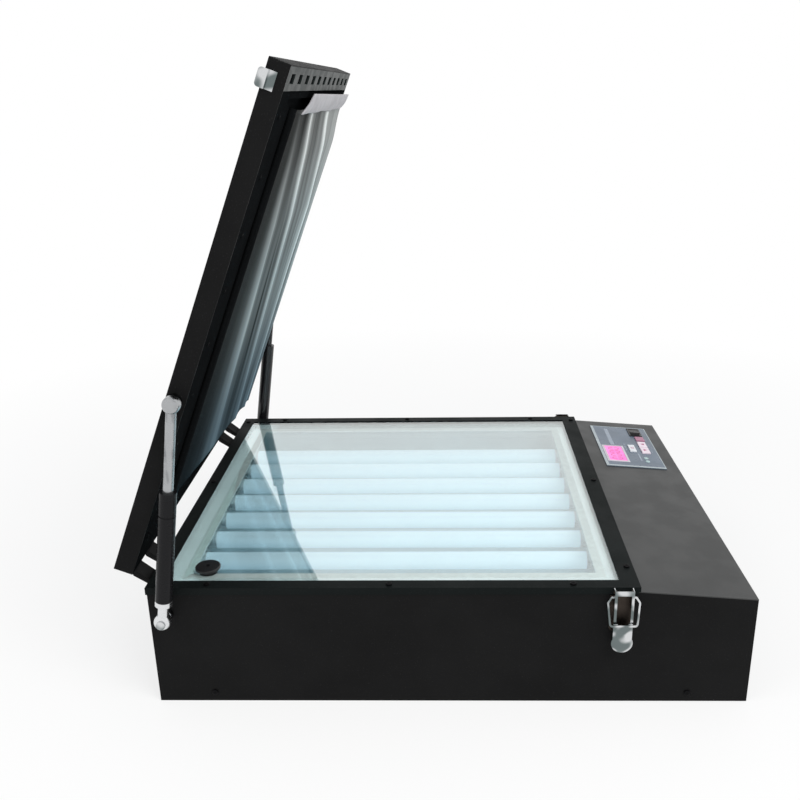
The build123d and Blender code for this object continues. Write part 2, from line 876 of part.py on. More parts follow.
# ---- cooling and mains --------------------------------------------------------
def fan_housing():
    """Square fan frame on the far wall with a three-armed spider for the rotor's bearing."""
    y0 = inner_far - fan_depth
    half = fan_size / 2
    frame = block(fan_x - half, fan_x + half, y0, inner_far, fan_height - half, fan_height + half)
    frame = fillet(frame.edges().filter_by(Axis.Y), fan_corner)
    frame -= rod_y(y0 - 1, inner_far + 1, fan_x, fan_height, fan_duct_radius)
    arm = Box(2 * fan_duct_radius + 1, fan_spider, fan_spider)
    for angle in (30, 90, 150):
        frame += Pos(fan_x, y0 + fan_spider / 2, fan_height) * Rot(0, angle, 0) * arm
    frame += rod_y(y0, y0 + fan_spider, fan_x, fan_height, fan_hub_radius)
    return frame - rod_y(y0 + fan_spider / 2, y0 + fan_spider + 1, fan_x, fan_height,
                         fan_shaft_radius + running_clearance)


def fan_rotor():
    """Hub, stub shaft and slanted blades."""
    frame_end = inner_far - fan_depth
    y0 = frame_end + fan_spider + soft_gap
    y1 = inner_far - soft_gap
    hub = rod_y(y0, y1, fan_x, fan_height, fan_hub_radius)
    hub += rod_y(frame_end + fan_spider / 2 + soft_gap, y0, fan_x, fan_height, fan_shaft_radius)
    root = fan_hub_radius - fan_spider
    tip = fan_duct_radius - fan_tip_gap
    blade = Box(tip - root, fan_blade_thickness, fan_blade_chord)
    blade = Pos((root + tip) / 2, 0, 0) * Rot(fan_blade_angle, 0, 0) * blade
    for number in range(fan_blades):
        hub += Pos(fan_x, (y0 + y1) / 2, fan_height) * Rot(0, number * 360 / fan_blades, 0) * blade
    return hub


def fan_guard():
    """Wire finger guard on the outside of the far wall: rings on two crossed wires."""
    y = wall_far + guard_wire
    centre = Pos(fan_x, y, fan_height)
    guard = centre * Rot(0, 45, 0) * Rot(0, 90, 0) * Cylinder(guard_wire, fan_size)
    guard += centre * Rot(0, 135, 0) * Rot(0, 90, 0) * Cylinder(guard_wire, fan_size)
    for number in range(guard_rings):
        radius = fan_duct_radius * (number + 1) / guard_rings
        guard += centre * Rot(90, 0, 0) * Torus(radius, guard_wire * 0.8)
    return guard


def power_inlet():
    """Mains inlet socket with its rim outside the far wall."""
    half_w = inlet_width / 2
    half_h = inlet_height / 2
    body = block(inlet_x - half_w, inlet_x + half_w, wall_far - inlet_depth, wall_far,
                 inlet_mid_height - half_h, inlet_mid_height + half_h)
    rim = block(inlet_x - half_w - inlet_rim, inlet_x + half_w + inlet_rim, wall_far, wall_far + inlet_rim,
                inlet_mid_height - half_h - inlet_rim, inlet_mid_height + half_h + inlet_rim)
    inlet = body + fillet(rim.edges().filter_by(Axis.Y), inlet_rim)
    floor_y = wall_far - inlet_socket_depth
    half_sw = inlet_socket_width / 2
    half_sh = inlet_socket_height / 2
    inlet -= block(inlet_x - half_sw, inlet_x + half_sw, floor_y, wall_far + inlet_rim + 1,
                   inlet_mid_height - half_sh, inlet_mid_height + half_sh)
    across = inlet_socket_width / 4
    up = inlet_socket_height / 5
    width, height = inlet_pin
    for dx, dz in ((0, up), (-across, -up), (across, -up)):
        inlet += block(inlet_x + dx - width / 2, inlet_x + dx + width / 2, floor_y - 1, wall_far - inlet_rim,
                       inlet_mid_height + dz - height / 2, inlet_mid_height + dz + height / 2)
    return inlet


# ---- hinges -----------------------------------------------------------------
def knuckle_spans():
    """Y limits of the near hinge's three knuckles: bracket, lid and bracket."""
    middle = near + hinge_inset
    edges = spread(middle - hinge_width / 2, middle + hinge_width / 2, 4)
    return [(edges[0], edges[1]), (edges[1], edges[2]), (edges[2], edges[3])]


def hinge_bore():
    spans = knuckle_spans()
    bore_radius = hinge_pin_radius + running_clearance
    return rod_y(spans[0][0] - 1, spans[2][1] + 1, hinge_x, hinge_height, bore_radius)


def hinge_bracket():
    """Steel bracket on the hinge-end wall; its fingers pass under the shut lid to the outer knuckles."""
    spans = knuckle_spans()
    back = wall_left - bracket_thickness
    low = hinge_height - bracket_drop
    high = top_height - trim_drop - 1
    bracket = block(back, wall_left, spans[0][0], spans[2][1], low, high)
    outline = [
        (back, low + bracket_thickness * 2),
        (back, high),
        (lid_left + bracket_thickness, lid_under - 4),
        (lid_left - bracket_thickness, lid_under + 1),
        (hinge_x + knuckle_radius * 0.8, hinge_height - 3),
        (hinge_x - knuckle_radius * 0.8, hinge_height - 3),
        (hinge_x + 1, hinge_height - 18),
    ]
    outer_fingers = ((spans[0][0], spans[0][1] - pivot_gap), (spans[2][0] + pivot_gap, spans[2][1]))
    for y0, y1 in outer_fingers:
        bracket += slab_xz(outline, y0, y1)
        bracket += rod_y(y0, y1, hinge_x, hinge_height, knuckle_radius)
    return bracket - hinge_bore()


def lid_hinge_leaf():
    """Chromed leaf on the lid's end wall with the middle knuckle."""
    spans = knuckle_spans()
    y0 = spans[1][0] + pivot_gap
    y1 = spans[1][1] - pivot_gap
    leaf = block(lid_left - hinge_leaf, lid_left, spans[0][0], spans[2][1], lid_under + 1, lid_top - 3)
    leaf += rod_y(y0, y1, hinge_x, hinge_height, knuckle_radius)
    leaf += block(hinge_x, lid_left - hinge_leaf / 2, y0, y1, hinge_height - knuckle_radius / 2,
                  hinge_height + knuckle_radius / 2)
    return leaf - hinge_bore()


def hinge_pin():
    """Pin with a head at each end, against the outer knuckles."""
    y0 = knuckle_spans()[0][0]
    y1 = knuckle_spans()[2][1]
    pin = rod_y(y0, y1, hinge_x, hinge_height, hinge_pin_radius)
    pin += rod_y(y0 - hinge_pin_head, y0, hinge_x, hinge_height, hinge_pin_radius + 1)
    return pin + rod_y(y1, y1 + hinge_pin_head, hinge_x, hinge_height, hinge_pin_radius + 1)


# ---- lid, drawn shut ----------------------------------------------------------
def lid_shell():
    shell = block(lid_left, box_right, near, far, lid_under, lid_top)
    shell = fillet(shell.edges().filter_by(Axis.Z), lid_corner_round)
    return shell - block(lid_left + sheet, box_right - sheet, near + sheet, far - sheet, lid_under - 1,
                         lid_top - sheet)


def lid_inner_frame():
    """Folded channel round the inside of the lid with the backing sheet behind the blanket."""
    low = lid_under + clamp_thickness
    high = lid_top - sheet
    x0 = lid_left + sheet
    x1 = box_right - sheet
    y0 = near + sheet
    y1 = far - sheet
    free_end = end_band_width + end_band_recess
    frame = ring(x0, x1, y0, y1, low, high, frame_width, free_end, frame_width)
    frame -= ring(x0 + sheet, x1 - sheet, y0 + sheet, y1 - sheet, low + sheet, high + 1,
                  frame_width - 2 * sheet, free_end - 2 * sheet, frame_width - 2 * sheet)
    back = lid_under + backing_recess
    return frame + block(x0 + frame_width - sheet, x1 - free_end + sheet, y0 + frame_width - sheet,
                         y1 - frame_width + sheet, back, back + sheet)


def clamp_screw_places():
    room = lid_length - clamp_screw_first - end_band_width - end_band_recess
    count = math.floor(room / clamp_screw_pitch) + 1
    xs = [lid_left + clamp_screw_first + number * clamp_screw_pitch for number in range(count)]
    return [(x, y) for x in xs for y in (near + clamp_screw_edge, far - clamp_screw_edge)]


def clamp_strips():
    """Three-sided clamp strip round the lid's underside, open at the vented end."""
    end = box_right - sheet - end_band_width
    side = clamp_width - sheet
    strip = block(lid_left + sheet, end, near + sheet, far - sheet, lid_under, lid_under + clamp_thickness)
    strip -= block(lid_left + clamp_width, end + 1, near + sheet + side, far - sheet - side, lid_under - 1,
                   lid_top)
    for x, y in clamp_screw_places():
        strip -= screw_hole(x, y, lid_under, lid_under + clamp_thickness)
    return strip


def clamp_screw(x, y):
    """Low pan head screw under the clamp strip."""
    head = rod_z(lid_under - clamp_screw_head, lid_under, x, y, screw_head_radius)
    head = fillet(head.edges().group_by(Axis.Z)[0], clamp_screw_head * 0.45)
    return head + rod_z(lid_under, lid_under + clamp_thickness, x, y, screw_shank_radius)


def lid_end_band():
    """Vented band across the lid's free end, with a row of slots."""
    x1 = box_right - sheet
    x0 = x1 - end_band_width
    band = block(x0, x1, near + sheet, far - sheet, lid_under, lid_under + clamp_thickness)
    count = math.floor((overall_width - 2 * end_slot_margin) / end_slot_pitch) + 1
    half_run = (count - 1) * end_slot_pitch / 2
    for y in spread(-half_run, half_run, count):
        slot_size = (end_slot_length, end_slot_width, clamp_thickness + 2)
        band -= centred_block((x0 + x1) / 2, y, lid_under - 1, slot_size)
    return band


# ---- vacuum blanket -----------------------------------------------------------
def blanket_section(x, station):
    """Cross-section of the slack sheet: flat behind, sloping and creased in front."""
    back = lid_under + backing_recess - soft_gap
    width = overall_width - blanket_inset_near - blanket_inset_far
    rise = blanket_rise[station] / (width - blanket_turn)
    front = [(0.0, blanket_edge)]
    for relief, *distances in blanket_creases:
        distance = distances[station]
        front.append((distance, blanket_edge + rise * distance + relief * blanket_relief[station]))
    front.append((width - blanket_turn, blanket_edge + blanket_rise[station]))
    front.append((width, blanket_edge))
    y0 = near + blanket_inset_near
    points = [(y0 + distance, lid_under - height) for distance, height in front]
    outline = Polyline((y0, back), *points, (y0 + width, back), close=True)
    plane = Plane(origin=(x, 0, 0), x_dir=(0, 1, 0), z_dir=(1, 0, 0))
    return plane * make_face(outline)


def vacuum_blanket():
    """Rubber sheet with its long folds, which drift to the far side towards the hinges."""
    sections = [
        blanket_section(lid_left + blanket_inset_hinge, 0),
        blanket_section(lid_left + blanket_middle, 1),
        blanket_section(box_right - blanket_inset_end - end_band_width / 2, 2),
    ]
    return loft(sections, ruled=True)


# ---- latches ----------------------------------------------------------------
def latch_plate():
    """Fixed plate on the near wall; its two ears stand inside the lever and hold the lever's pin."""
    half = latch_plate_width / 2
    face = wall_near - latch_plate_thickness
    high = top_height - latch_plate_drop
    plate = block(latch_x - half, latch_x + half, face, wall_near, high - latch_plate_length, high)
    plate = fillet(plate.edges().filter_by(Axis.Y).group_by(Axis.Z)[0], latch_plate_round)
    ear_outer = lever_width / 2 - lever_sheet - lever_side_gap
    ear_inner = ear_outer - latch_ear_thickness
    for x0, x1 in ((latch_x - ear_outer, latch_x - ear_inner), (latch_x + ear_inner, latch_x + ear_outer)):
        root = block(x0, x1, latch_pivot_y, face, high - latch_ear_length, high)
        neck = block(x0, x1, latch_pivot_y - latch_boss_radius, latch_pivot_y + latch_boss_radius,
                     high - latch_ear_length / 2, latch_pivot_height)
        boss = rod_x(x0, x1, latch_pivot_y, latch_pivot_height, latch_boss_radius)
        plate += root + neck + boss
    pin_half = lever_width / 2 + lever_sheet
    return plate + rod_x(latch_x - pin_half, latch_x + pin_half, latch_pivot_y, latch_pivot_height,
                         latch_pin_radius)


def latch_lever():
    """Pressed lever: a windowed channel round the ears with a rounded, domed tip, hanging from its pin."""
    half = lever_width / 2
    front = -lever_depth / 2
    tip_z = -lever_length + lever_tip_radius
    web = block(-half, half, front, front + lever_sheet, tip_z, lever_head)
    web += rod_y(front, front + lever_sheet, 0, tip_z, lever_tip_radius)
    window_width, window_length = lever_window
    hole = block(-window_width / 2, window_width / 2, front - 1, front + lever_sheet + 1,
                 -lever_window_drop - window_length, -lever_window_drop)
    web -= fillet(hole.edges().filter_by(Axis.Y).group_by(Axis.Z)[0], window_width * 0.4)
    dome_edge = lever_tip_radius - lever_sheet
    dome_radius = (dome_edge**2 + lever_dome**2) / (2 * lever_dome)
    half_angle = math.asin(dome_edge / dome_radius) / 2
    apex = (0, front - lever_dome)
    bulge = dome_radius * (1 - math.cos(half_angle))
    middle = (dome_radius * math.sin(half_angle), front - lever_dome + bulge)
    rim = (dome_edge, front)
    inside = front + lever_sheet / 2
    profile = ThreePointArc(apex, middle, rim) + Polyline(rim, (dome_edge, inside), (0, inside), apex)
    lever = web + Pos(0, 0, tip_z) * revolve(make_face(profile), Axis.Y)
    for x0, x1 in ((-half, -half + lever_sheet), (half - lever_sheet, half)):
        cheek = block(x0, x1, front, -front, -bail_drop - lever_head, lever_head)
        flange = block(x0, x1, front, front + lever_depth / 2, tip_z, lever_head)
        lever += cheek + flange
    lever -= rod_x(-half - 1, half + 1, 0, 0, latch_pin_radius + running_clearance)
    lever -= rod_x(-half - 1, half + 1, 0, -bail_drop, bail_wire + running_clearance)
    return Pos(latch_x, latch_pivot_y, latch_pivot_height) * lever


def latch_bail():
    """Wire loop that hangs from the lever's cheeks and can be swung up to the lid's catch."""
    inside = lever_width / 2 - lever_sheet
    elbow = lever_width / 2 + 2 * bail_wire
    points = [
        (-inside, 0, 0),
        (-elbow, 0, 0),
        (-bail_shoulder, 0, -bail_shoulder_drop),
        (-bail_foot, 0, -bail_length),
        (bail_foot, 0, -bail_length),
        (bail_shoulder, 0, -bail_shoulder_drop),
        (elbow, 0, 0),
        (inside, 0, 0),
    ]
    tight = bail_wire * 1.2
    path = FilletPolyline(*points, radius=[tight, bail_bend, bail_bend, bail_bend, bail_bend, tight])
    mouth = Plane(origin=path @ 0, z_dir=path % 0)
    wire = sweep(mouth * Circle(bail_wire), path)
    return Pos(latch_x, latch_pivot_y, latch_pivot_height - bail_drop) * Rot(-bail_tilt, 0, 0) * wire


def catch_plate():
    """Hook on the lid's side face: the raised bail drops behind its lip on to its shelf."""
    x0 = latch_x - catch_width / 2
    x1 = latch_x + catch_width / 2
    shelf = latch_pivot_height - bail_drop + bail_length - bail_wire - soft_gap
    lip_y = near - catch_reach
    hook = block(x0, x1, near - catch_thickness, near, lid_under + catch_low, lid_top - 1)
    hook += block(x0, x1, lip_y, near, shelf - catch_thickness, shelf)
    lip = block(x0, x1, lip_y, lip_y + catch_thickness, shelf - catch_thickness, shelf + catch_lip)
    return hook + fillet(lip.edges().filter_by(Axis.Y).group_by(Axis.Z)[-1], catch_corner)


# ---- gas struts -------------------------------------------------------------
strut_lid_x = lid_left + strut_lid_reach
strut_lid_z = lid_under + strut_lid_height
strut_end_x, strut_end_z = opened_point(strut_lid_x, strut_lid_z)
strut_run_x = strut_end_x - strut_base_x
strut_run_z = strut_end_z - strut_base_height
strut_length = math.hypot(strut_run_x, strut_run_z)
strut_plane = Plane(
    origin=(strut_base_x, strut_y, strut_base_height),
    x_dir=(0, 1, 0),
    z_dir=(strut_run_x, 0, strut_run_z),
)
strut_body_end = strut_neck_length + strut_body_length
strut_chamber_end = strut_body_end - strut_collar_length + strut_end_wall


def along_strut(z0, z1, radius):
    return Pos(0, 0, (z0 + z1) / 2) * Cylinder(radius, z1 - z0)


def ball_socket():
    """Socket housing across the strut, drawn about the ball's centre."""
    housing = Rot(0, 90, 0) * Cylinder(strut_socket_radius, 2 * strut_socket_half)
    return fillet(housing.edges(), strut_socket_round)


def strut_cylinder():
    """Gas cylinder: lower socket, neck, body and guide collar, bored for the rod."""
    body = ball_socket()
    body += along_strut(0, strut_neck_length, strut_neck_radius)
    body += along_strut(strut_neck_length, strut_body_end, strut_body_radius)
    groove = Cylinder(strut_body_radius + 1, strut_groove_width)
    groove -= Cylinder(strut_body_radius - strut_groove, strut_groove_width)
    body -= Pos(0, 0, strut_body_end - strut_collar_length) * groove
    body -= along_strut(strut_neck_length + strut_end_wall, strut_chamber_end, strut_bore_radius)
    body -= along_strut(strut_chamber_end, strut_body_end + 1, strut_rod_radius + running_clearance)
    body -= Rot(0, 90, 0) * Cylinder(stud_radius + running_clearance, 4 * strut_socket_half)
    return strut_plane * body


def strut_rod():
    """Rod with its piston and the upper socket, which stands just clear of the lid's stud."""
    low = strut_chamber_end - strut_rod_engaged
    rod = along_strut(low, strut_length, strut_rod_radius)
    rod += along_strut(low, low + strut_piston_length, strut_bore_radius - running_clearance)
    return strut_plane * (rod + Pos(0, 0, strut_length) * ball_socket())


def strut_base_stud():
    """Stud through the near wall that carries the cylinder's socket."""
    outer = strut_y - strut_socket_half - pivot_gap
    inner = strut_y + strut_socket_half + pivot_gap
    stud = rod_y(outer, inner_near, strut_base_x, strut_base_height, stud_radius)
    stud += rod_y(inner, wall_near, strut_base_x, strut_base_height, stud_base_radius)
    head_radius = stud_radius + stud_head_lap
    stud += rod_y(outer - stud_head_height, outer, strut_base_x, strut_base_height, head_radius)
    return stud + rod_y(inner_near, inner_near + stud_base_thickness, strut_base_x, strut_base_height,
                        stud_base_radius)


def strut_lid_stud():
    """Stud on the lid's side face, drawn with the lid shut."""
    return rod_y(strut_y + strut_socket_half + pivot_gap, near, strut_lid_x, strut_lid_z, stud_base_radius)


# ---- write every node ---------------------------------------------------------
os.makedirs("parts", exist_ok=True)

save("cabinet_shell", cabinet_shell())
save("bottom_tray", bottom_tray())
save("control_cover", control_cover())
save("partition_wall", partition_wall())
save("glass_ledge", glass_ledge())
save("glass_seal_tape", glass_seal_tape())
save("glass_spacer", glass_spacer())
save("exposure_glass", exposure_glass())
save("glass_trim", glass_trim())
save("cabinet_screws", cabinet_screws())
save("reflector_tray", reflector_tray())
for index, row_y in enumerate(lamp_rows()):
    save("lamp_tube_" + str(index + 1), lamp_tube(row_y))
save("lamp_caps", at_both_lamp_ends(lamp_cap))
save("lampholders", at_both_lamp_ends(lampholder))
save("ballasts", ballasts())
save("vacuum_port", vacuum_port())
save("vacuum_hose", vacuum_hose())
save("hose_clips", hose_clips())
save("vacuum_pump", vacuum_pump())
save("control_panel", control_panel())
save("panel_display", panel_display())
save("button_start", button(start_place, start_size))
save("button_up", button(up_place, step_size))
save("button_down", button(down_place, step_size))
save("button_vacuum", button(vacuum_place, vacuum_size))
save("power_switch_frame", rocker_frame())
save("power_rocker", power_rocker())
save("controller_board", controller_board())
save("fan_housing", fan_housing())
save("fan_rotor", fan_rotor())
save("fan_guard", fan_guard())
save("power_inlet", power_inlet())
save("hinge_brackets", both_sides(hinge_bracket()))
save("hinge_pins", both_sides(hinge_pin()))
save("lid_hinge_leaves", both_sides(opened(lid_hinge_leaf())))
save("lid_shell", opened(lid_shell()))
save("lid_inner_frame", opened(lid_inner_frame()))
save("clamp_strips", opened(clamp_strips()))
save("clamp_screws", [opened(clamp_screw(x, y)) for x, y in clamp_screw_places()])
save("lid_end_band", opened(lid_end_band()))
save("vacuum_blanket", opened(vacuum_blanket()))
save("catch_plates", both_sides(opened(catch_plate())))
save("lid_strut_studs", both_sides(opened(strut_lid_stud())))
save("latch_plates", both_sides(latch_plate()))
save("latch_lever_near", latch_lever())
save("latch_lever_far", mirrored(latch_lever()))
save("latch_bail_near", latch_bail())
save("latch_bail_far", mirrored(latch_bail()))
save("strut_base_studs", both_sides(strut_base_stud()))
save("strut_cylinder_near", strut_cylinder())
save("strut_cylinder_far", mirrored(strut_cylinder()))
save("strut_rod_near", strut_rod())
save("strut_rod_far", mirrored(strut_rod()))
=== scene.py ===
import bmesh
import bpy
import math
from mathutils import Matrix, Vector, noise


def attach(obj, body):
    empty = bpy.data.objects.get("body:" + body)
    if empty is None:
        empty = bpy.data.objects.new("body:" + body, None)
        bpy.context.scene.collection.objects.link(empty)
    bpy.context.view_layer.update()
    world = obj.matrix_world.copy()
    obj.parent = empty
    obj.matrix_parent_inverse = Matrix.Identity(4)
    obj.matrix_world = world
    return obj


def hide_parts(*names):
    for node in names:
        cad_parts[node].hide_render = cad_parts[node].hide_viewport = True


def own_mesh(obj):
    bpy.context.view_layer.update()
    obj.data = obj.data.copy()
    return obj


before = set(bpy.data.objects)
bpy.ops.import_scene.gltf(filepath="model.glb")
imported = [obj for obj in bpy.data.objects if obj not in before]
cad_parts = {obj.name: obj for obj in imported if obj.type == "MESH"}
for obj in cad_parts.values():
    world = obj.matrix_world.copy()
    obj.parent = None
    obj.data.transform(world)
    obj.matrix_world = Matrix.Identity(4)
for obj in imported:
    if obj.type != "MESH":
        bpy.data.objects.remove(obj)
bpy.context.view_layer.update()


# ---- camera, light and floor ----------------------------------------------
CAMERA_PLACE = (-0.00307, -1.31677, 0.78931)
CAMERA_ANGLES = (1.5115, 19.4388, 0.9032)
CAMERA_LENS = 39.814
CAMERA_SHIFT = (-0.03045, 0.00043)
WORLD_LIGHT = 0.62
FLOOR_HALF = 9.0
FLOOR_DROP = 0.0005
FLOOR_FADE = (0.55, 1.7)
FLOOR_OWN_WHITE = (0.72, 1.0)


def add_camera():
    yaw, pitch, roll = (math.radians(a) for a in CAMERA_ANGLES)
    turn = Matrix.Rotation(yaw, 3, "Z") @ Matrix.Rotation(-pitch, 3, "X") @ Matrix.Rotation(roll, 3, "Y")
    right, ahead, up = turn.col
    data = bpy.data.cameras.new("camera")
    data.sensor_width = 36.0
    data.lens = CAMERA_LENS
    data.shift_x, data.shift_y = CAMERA_SHIFT
    data.clip_start = 0.05
    data.clip_end = 60.0
    camera = bpy.data.objects.new("camera", data)
    bpy.context.scene.collection.objects.link(camera)
    axes = Matrix((right, up, -ahead)).transposed().to_4x4()
    camera.matrix_world = Matrix.Translation(CAMERA_PLACE) @ axes
    bpy.context.scene.camera = camera


def seen_directly(nodes, links):
    """Socket that is 1 for the rays that show the background itself."""
    path = nodes.new("ShaderNodeLightPath")
    first = nodes.new("ShaderNodeMath")
    first.operation = "MAXIMUM"
    second = nodes.new("ShaderNodeMath")
    second.operation = "MAXIMUM"
    links.new(path.outputs["Is Camera Ray"], first.inputs[0])
    links.new(path.outputs["Is Glossy Ray"], first.inputs[1])
    links.new(first.outputs[0], second.inputs[0])
    links.new(path.outputs["Is Transmission Ray"], second.inputs[1])
    return second.outputs[0]


def add_world():
    world = bpy.data.worlds.new("studio")
    world.use_nodes = True
    nodes, links = world.node_tree.nodes, world.node_tree.links
    nodes.clear()
    light = nodes.new("ShaderNodeBackground")
    light.inputs["Color"].default_value = (0.96, 0.98, 1.0, 1)
    light.inputs["Strength"].default_value = WORLD_LIGHT
    white = nodes.new("ShaderNodeBackground")
    white.inputs["Color"].default_value = (1, 1, 1, 1)
    white.inputs["Strength"].default_value = 1.0
    mix = nodes.new("ShaderNodeMixShader")
    out = nodes.new("ShaderNodeOutputWorld")
    links.new(seen_directly(nodes, links), mix.inputs[0])
    links.new(light.outputs[0], mix.inputs[1])
    links.new(white.outputs[0], mix.inputs[2])
    links.new(mix.outputs[0], out.inputs[0])
    bpy.context.scene.world = world


def add_lamp(name, place, target, size, power):
    data = bpy.data.lights.new(name, "AREA")
    data.shape = "SQUARE"
    data.size = size
    data.energy = power
    data.color = (1.0, 0.99, 0.97)
    lamp = bpy.data.objects.new(name, data)
    lamp.location = place
    lamp.rotation_euler = (Vector(target) - Vector(place)).to_track_quat("-Z", "Y").to_euler()
    lamp.visible_camera = False
    lamp.visible_glossy = False
    bpy.context.scene.collection.objects.link(lamp)


def add_floor():
    """White floor that keeps the shadow near the object and fades into the white world far from it."""
    mesh = bpy.data.meshes.new("floor")
    form = bmesh.new()
    bmesh.ops.create_grid(form, x_segments=8, y_segments=8, size=FLOOR_HALF)
    form.to_mesh(mesh)
    form.free()
    floor = bpy.data.objects.new("floor", mesh)
    floor.location = (0, 0, -FLOOR_DROP)
    bpy.context.scene.collection.objects.link(floor)
    paint = bpy.data.materials.new("floor_white")
    paint.use_nodes = True
    nodes, links = paint.node_tree.nodes, paint.node_tree.links
    nodes.clear()
    matt = nodes.new("ShaderNodeBsdfDiffuse")
    matt.inputs["Color"].default_value = (0.93, 0.93, 0.93, 1)
    glow = nodes.new("ShaderNodeEmission")
    glow.inputs["Color"].default_value = (1, 1, 1, 1)
    glow.inputs["Strength"].default_value = 1.0
    reach = nodes.new("ShaderNodeVectorMath")
    reach.operation = "LENGTH"
    links.new(nodes.new("ShaderNodeTexCoord").outputs["Object"], reach.inputs[0])
    fade = nodes.new("ShaderNodeMapRange")
    for key, number in zip(("From Min", "From Max", "To Min", "To Max"), FLOOR_FADE + FLOOR_OWN_WHITE):
        fade.inputs[key].default_value = number
    links.new(reach.outputs["Value"], fade.inputs["Value"])
    shown = nodes.new("ShaderNodeMixShader")
    links.new(fade.outputs["Result"], shown.inputs[0])
    mix = nodes.new("ShaderNodeMixShader")
    out = nodes.new("ShaderNodeOutputMaterial")
    links.new(matt.outputs[0], shown.inputs[1])
    links.new(glow.outputs[0], shown.inputs[2])
    links.new(seen_directly(nodes, links), mix.inputs[0])
    links.new(matt.outputs[0], mix.inputs[1])
    links.new(shown.outputs[0], mix.inputs[2])
    links.new(mix.outputs[0], out.inputs[0])
    mesh.materials.append(paint)


# ---- materials ------------------------------------------------------------
class Finish:
    """A node material whose colour, roughness and relief vary with the place on the piece."""

    def __init__(self, name, colour, rough, metal=0.0, shine=0.5):
        self.material = bpy.data.materials.new(name)
        self.material.use_nodes = True
        self.nodes = self.material.node_tree.nodes
        self.links = self.material.node_tree.links
        self.shader = self.nodes["Principled BSDF"]
        self.colour = colour
        self.rough = rough
        self.place = self.nodes.new("ShaderNodeTexCoord").outputs["Object"]
        self.base = None
        self.normal = None
        self.shader.inputs["Base Color"].default_value = (*colour, 1)
        self.shader.inputs["Roughness"].default_value = rough
        self.shader.inputs["Metallic"].default_value = metal
        self.shader.inputs["Specular IOR Level"].default_value = shine

    def pattern(self, size, stretch=(1, 1, 1), detail=3.0, kind="noise"):
        """Noise whose features are about size metres, drawn out along an axis by stretch."""
        spread = self.nodes.new("ShaderNodeMapping")
        spread.inputs["Scale"].default_value = [1.0 / (size * s) for s in stretch]
        self.links.new(self.place, spread.inputs["Vector"])
        if kind == "cells":
            texture = self.nodes.new("ShaderNodeTexVoronoi")
            texture.inputs["Scale"].default_value = 1.0
            self.links.new(spread.outputs[0], texture.inputs["Vector"])
            return texture.outputs["Distance"]
        texture = self.nodes.new("ShaderNodeTexNoise")
        texture.inputs["Scale"].default_value = 1.0
        texture.inputs["Detail"].default_value = detail
        self.links.new(spread.outputs[0], texture.inputs["Vector"])
        return texture.outputs["Fac"]

    def ramp(self, value, low, high, first=0.35, last=0.65):
        """Scalar that goes from low to high as value goes from first to last."""
        node = self.nodes.new("ShaderNodeMapRange")
        node.interpolation_type = "SMOOTHSTEP"
        self.links.new(value, node.inputs["Value"])
        for key, number in (("From Min", first), ("From Max", last), ("To Min", low), ("To Max", high)):
            node.inputs[key].default_value = number
        return node.outputs["Result"]

    def tint(self, share, colour):
        """Blend the base colour towards colour by the socket share."""
        mix = self.nodes.new("ShaderNodeMix")
        mix.data_type = "RGBA"
        inputs = [s for s in mix.inputs if s.type == "RGBA"]
        factor = [s for s in mix.inputs if s.type == "VALUE"][0]
        self.links.new(share, factor)
        if self.base is None:
            inputs[0].default_value = (*self.colour, 1)
        else:
            self.links.new(self.base, inputs[0])
        inputs[1].default_value = (*colour, 1)
        self.base = [s for s in mix.outputs if s.type == "RGBA"][0]
        self.links.new(self.base, self.shader.inputs["Base Color"])
        return self

    def vary(self, size, amount, stretch=(1, 1, 1)):
        """Lighten patches of the base colour by up to amount."""
        lighter = [min(1.0, c * (1 + amount) + 0.004 * amount) for c in self.colour]
        return self.tint(self.ramp(self.pattern(size, stretch), 0, 1), lighter)

    def smudge(self, size, amount, stretch=(1, 1, 1)):
        """Vary the roughness by amount either way."""
        value = self.ramp(self.pattern(size, stretch), self.rough - amount, self.rough + amount)
        self.links.new(value, self.shader.inputs["Roughness"])
        return self

    def relief(self, size, depth, stretch=(1, 1, 1), detail=2.0, kind="noise"):
        bump = self.nodes.new("ShaderNodeBump")
        bump.inputs["Strength"].default_value = 1.0
        bump.inputs["Distance"].default_value = depth
        self.links.new(self.pattern(size, stretch, detail, kind), bump.inputs["Height"])
        if self.normal is not None:
            self.links.new(self.normal, bump.inputs["Normal"])
        self.normal = bump.outputs["Normal"]
        self.links.new(self.normal, self.shader.inputs["Normal"])
        return self

    def glow(self, colour, strength):
        self.shader.inputs["Emission Color"].default_value = (*colour, 1)
        self.shader.inputs["Emission Strength"].default_value = strength
        return self

    def done(self):
        return self.material


def powder(name, colour, rough, shine):
    """Powder coat: orange-peel relief, faint cloudy sheen and a little dust."""
    coat = Finish(name, colour, rough, shine=shine)
    coat.vary(0.09, 0.12).tint(coat.ramp(coat.pattern(0.0016), 0, 0.16, 0.62, 0.72), (0.11, 0.11, 0.11))
    return coat.smudge(0.05, 0.05).relief(0.0011, 0.00003).done()


def plating(name, colour, rough):
    """Bright plating with faint polishing lines."""
    metal = Finish(name, colour, rough, metal=1.0)
    metal.vary(0.02, 0.06).smudge(0.008, 0.04)
    return metal.relief(0.0006, 0.000006, stretch=(1, 1, 8)).done()


def chrome_plating():
    """Bright plating with soft dark patches painted into its colour: painted reflections of dark
    surroundings.
    """
    metal = Finish("chrome_painted_reflections", (0.66, 0.67, 0.68), 0.13, metal=1.0)
    # dark patches tinted into the base colour: painted reflections of dark surroundings
    metal.tint(metal.ramp(metal.pattern(0.014, detail=0.0), 0, 0.9, 0.42, 0.66), (0.10, 0.13, 0.13))
    return metal.smudge(0.008, 0.04).relief(0.0006, 0.000006, stretch=(1, 1, 8)).done()


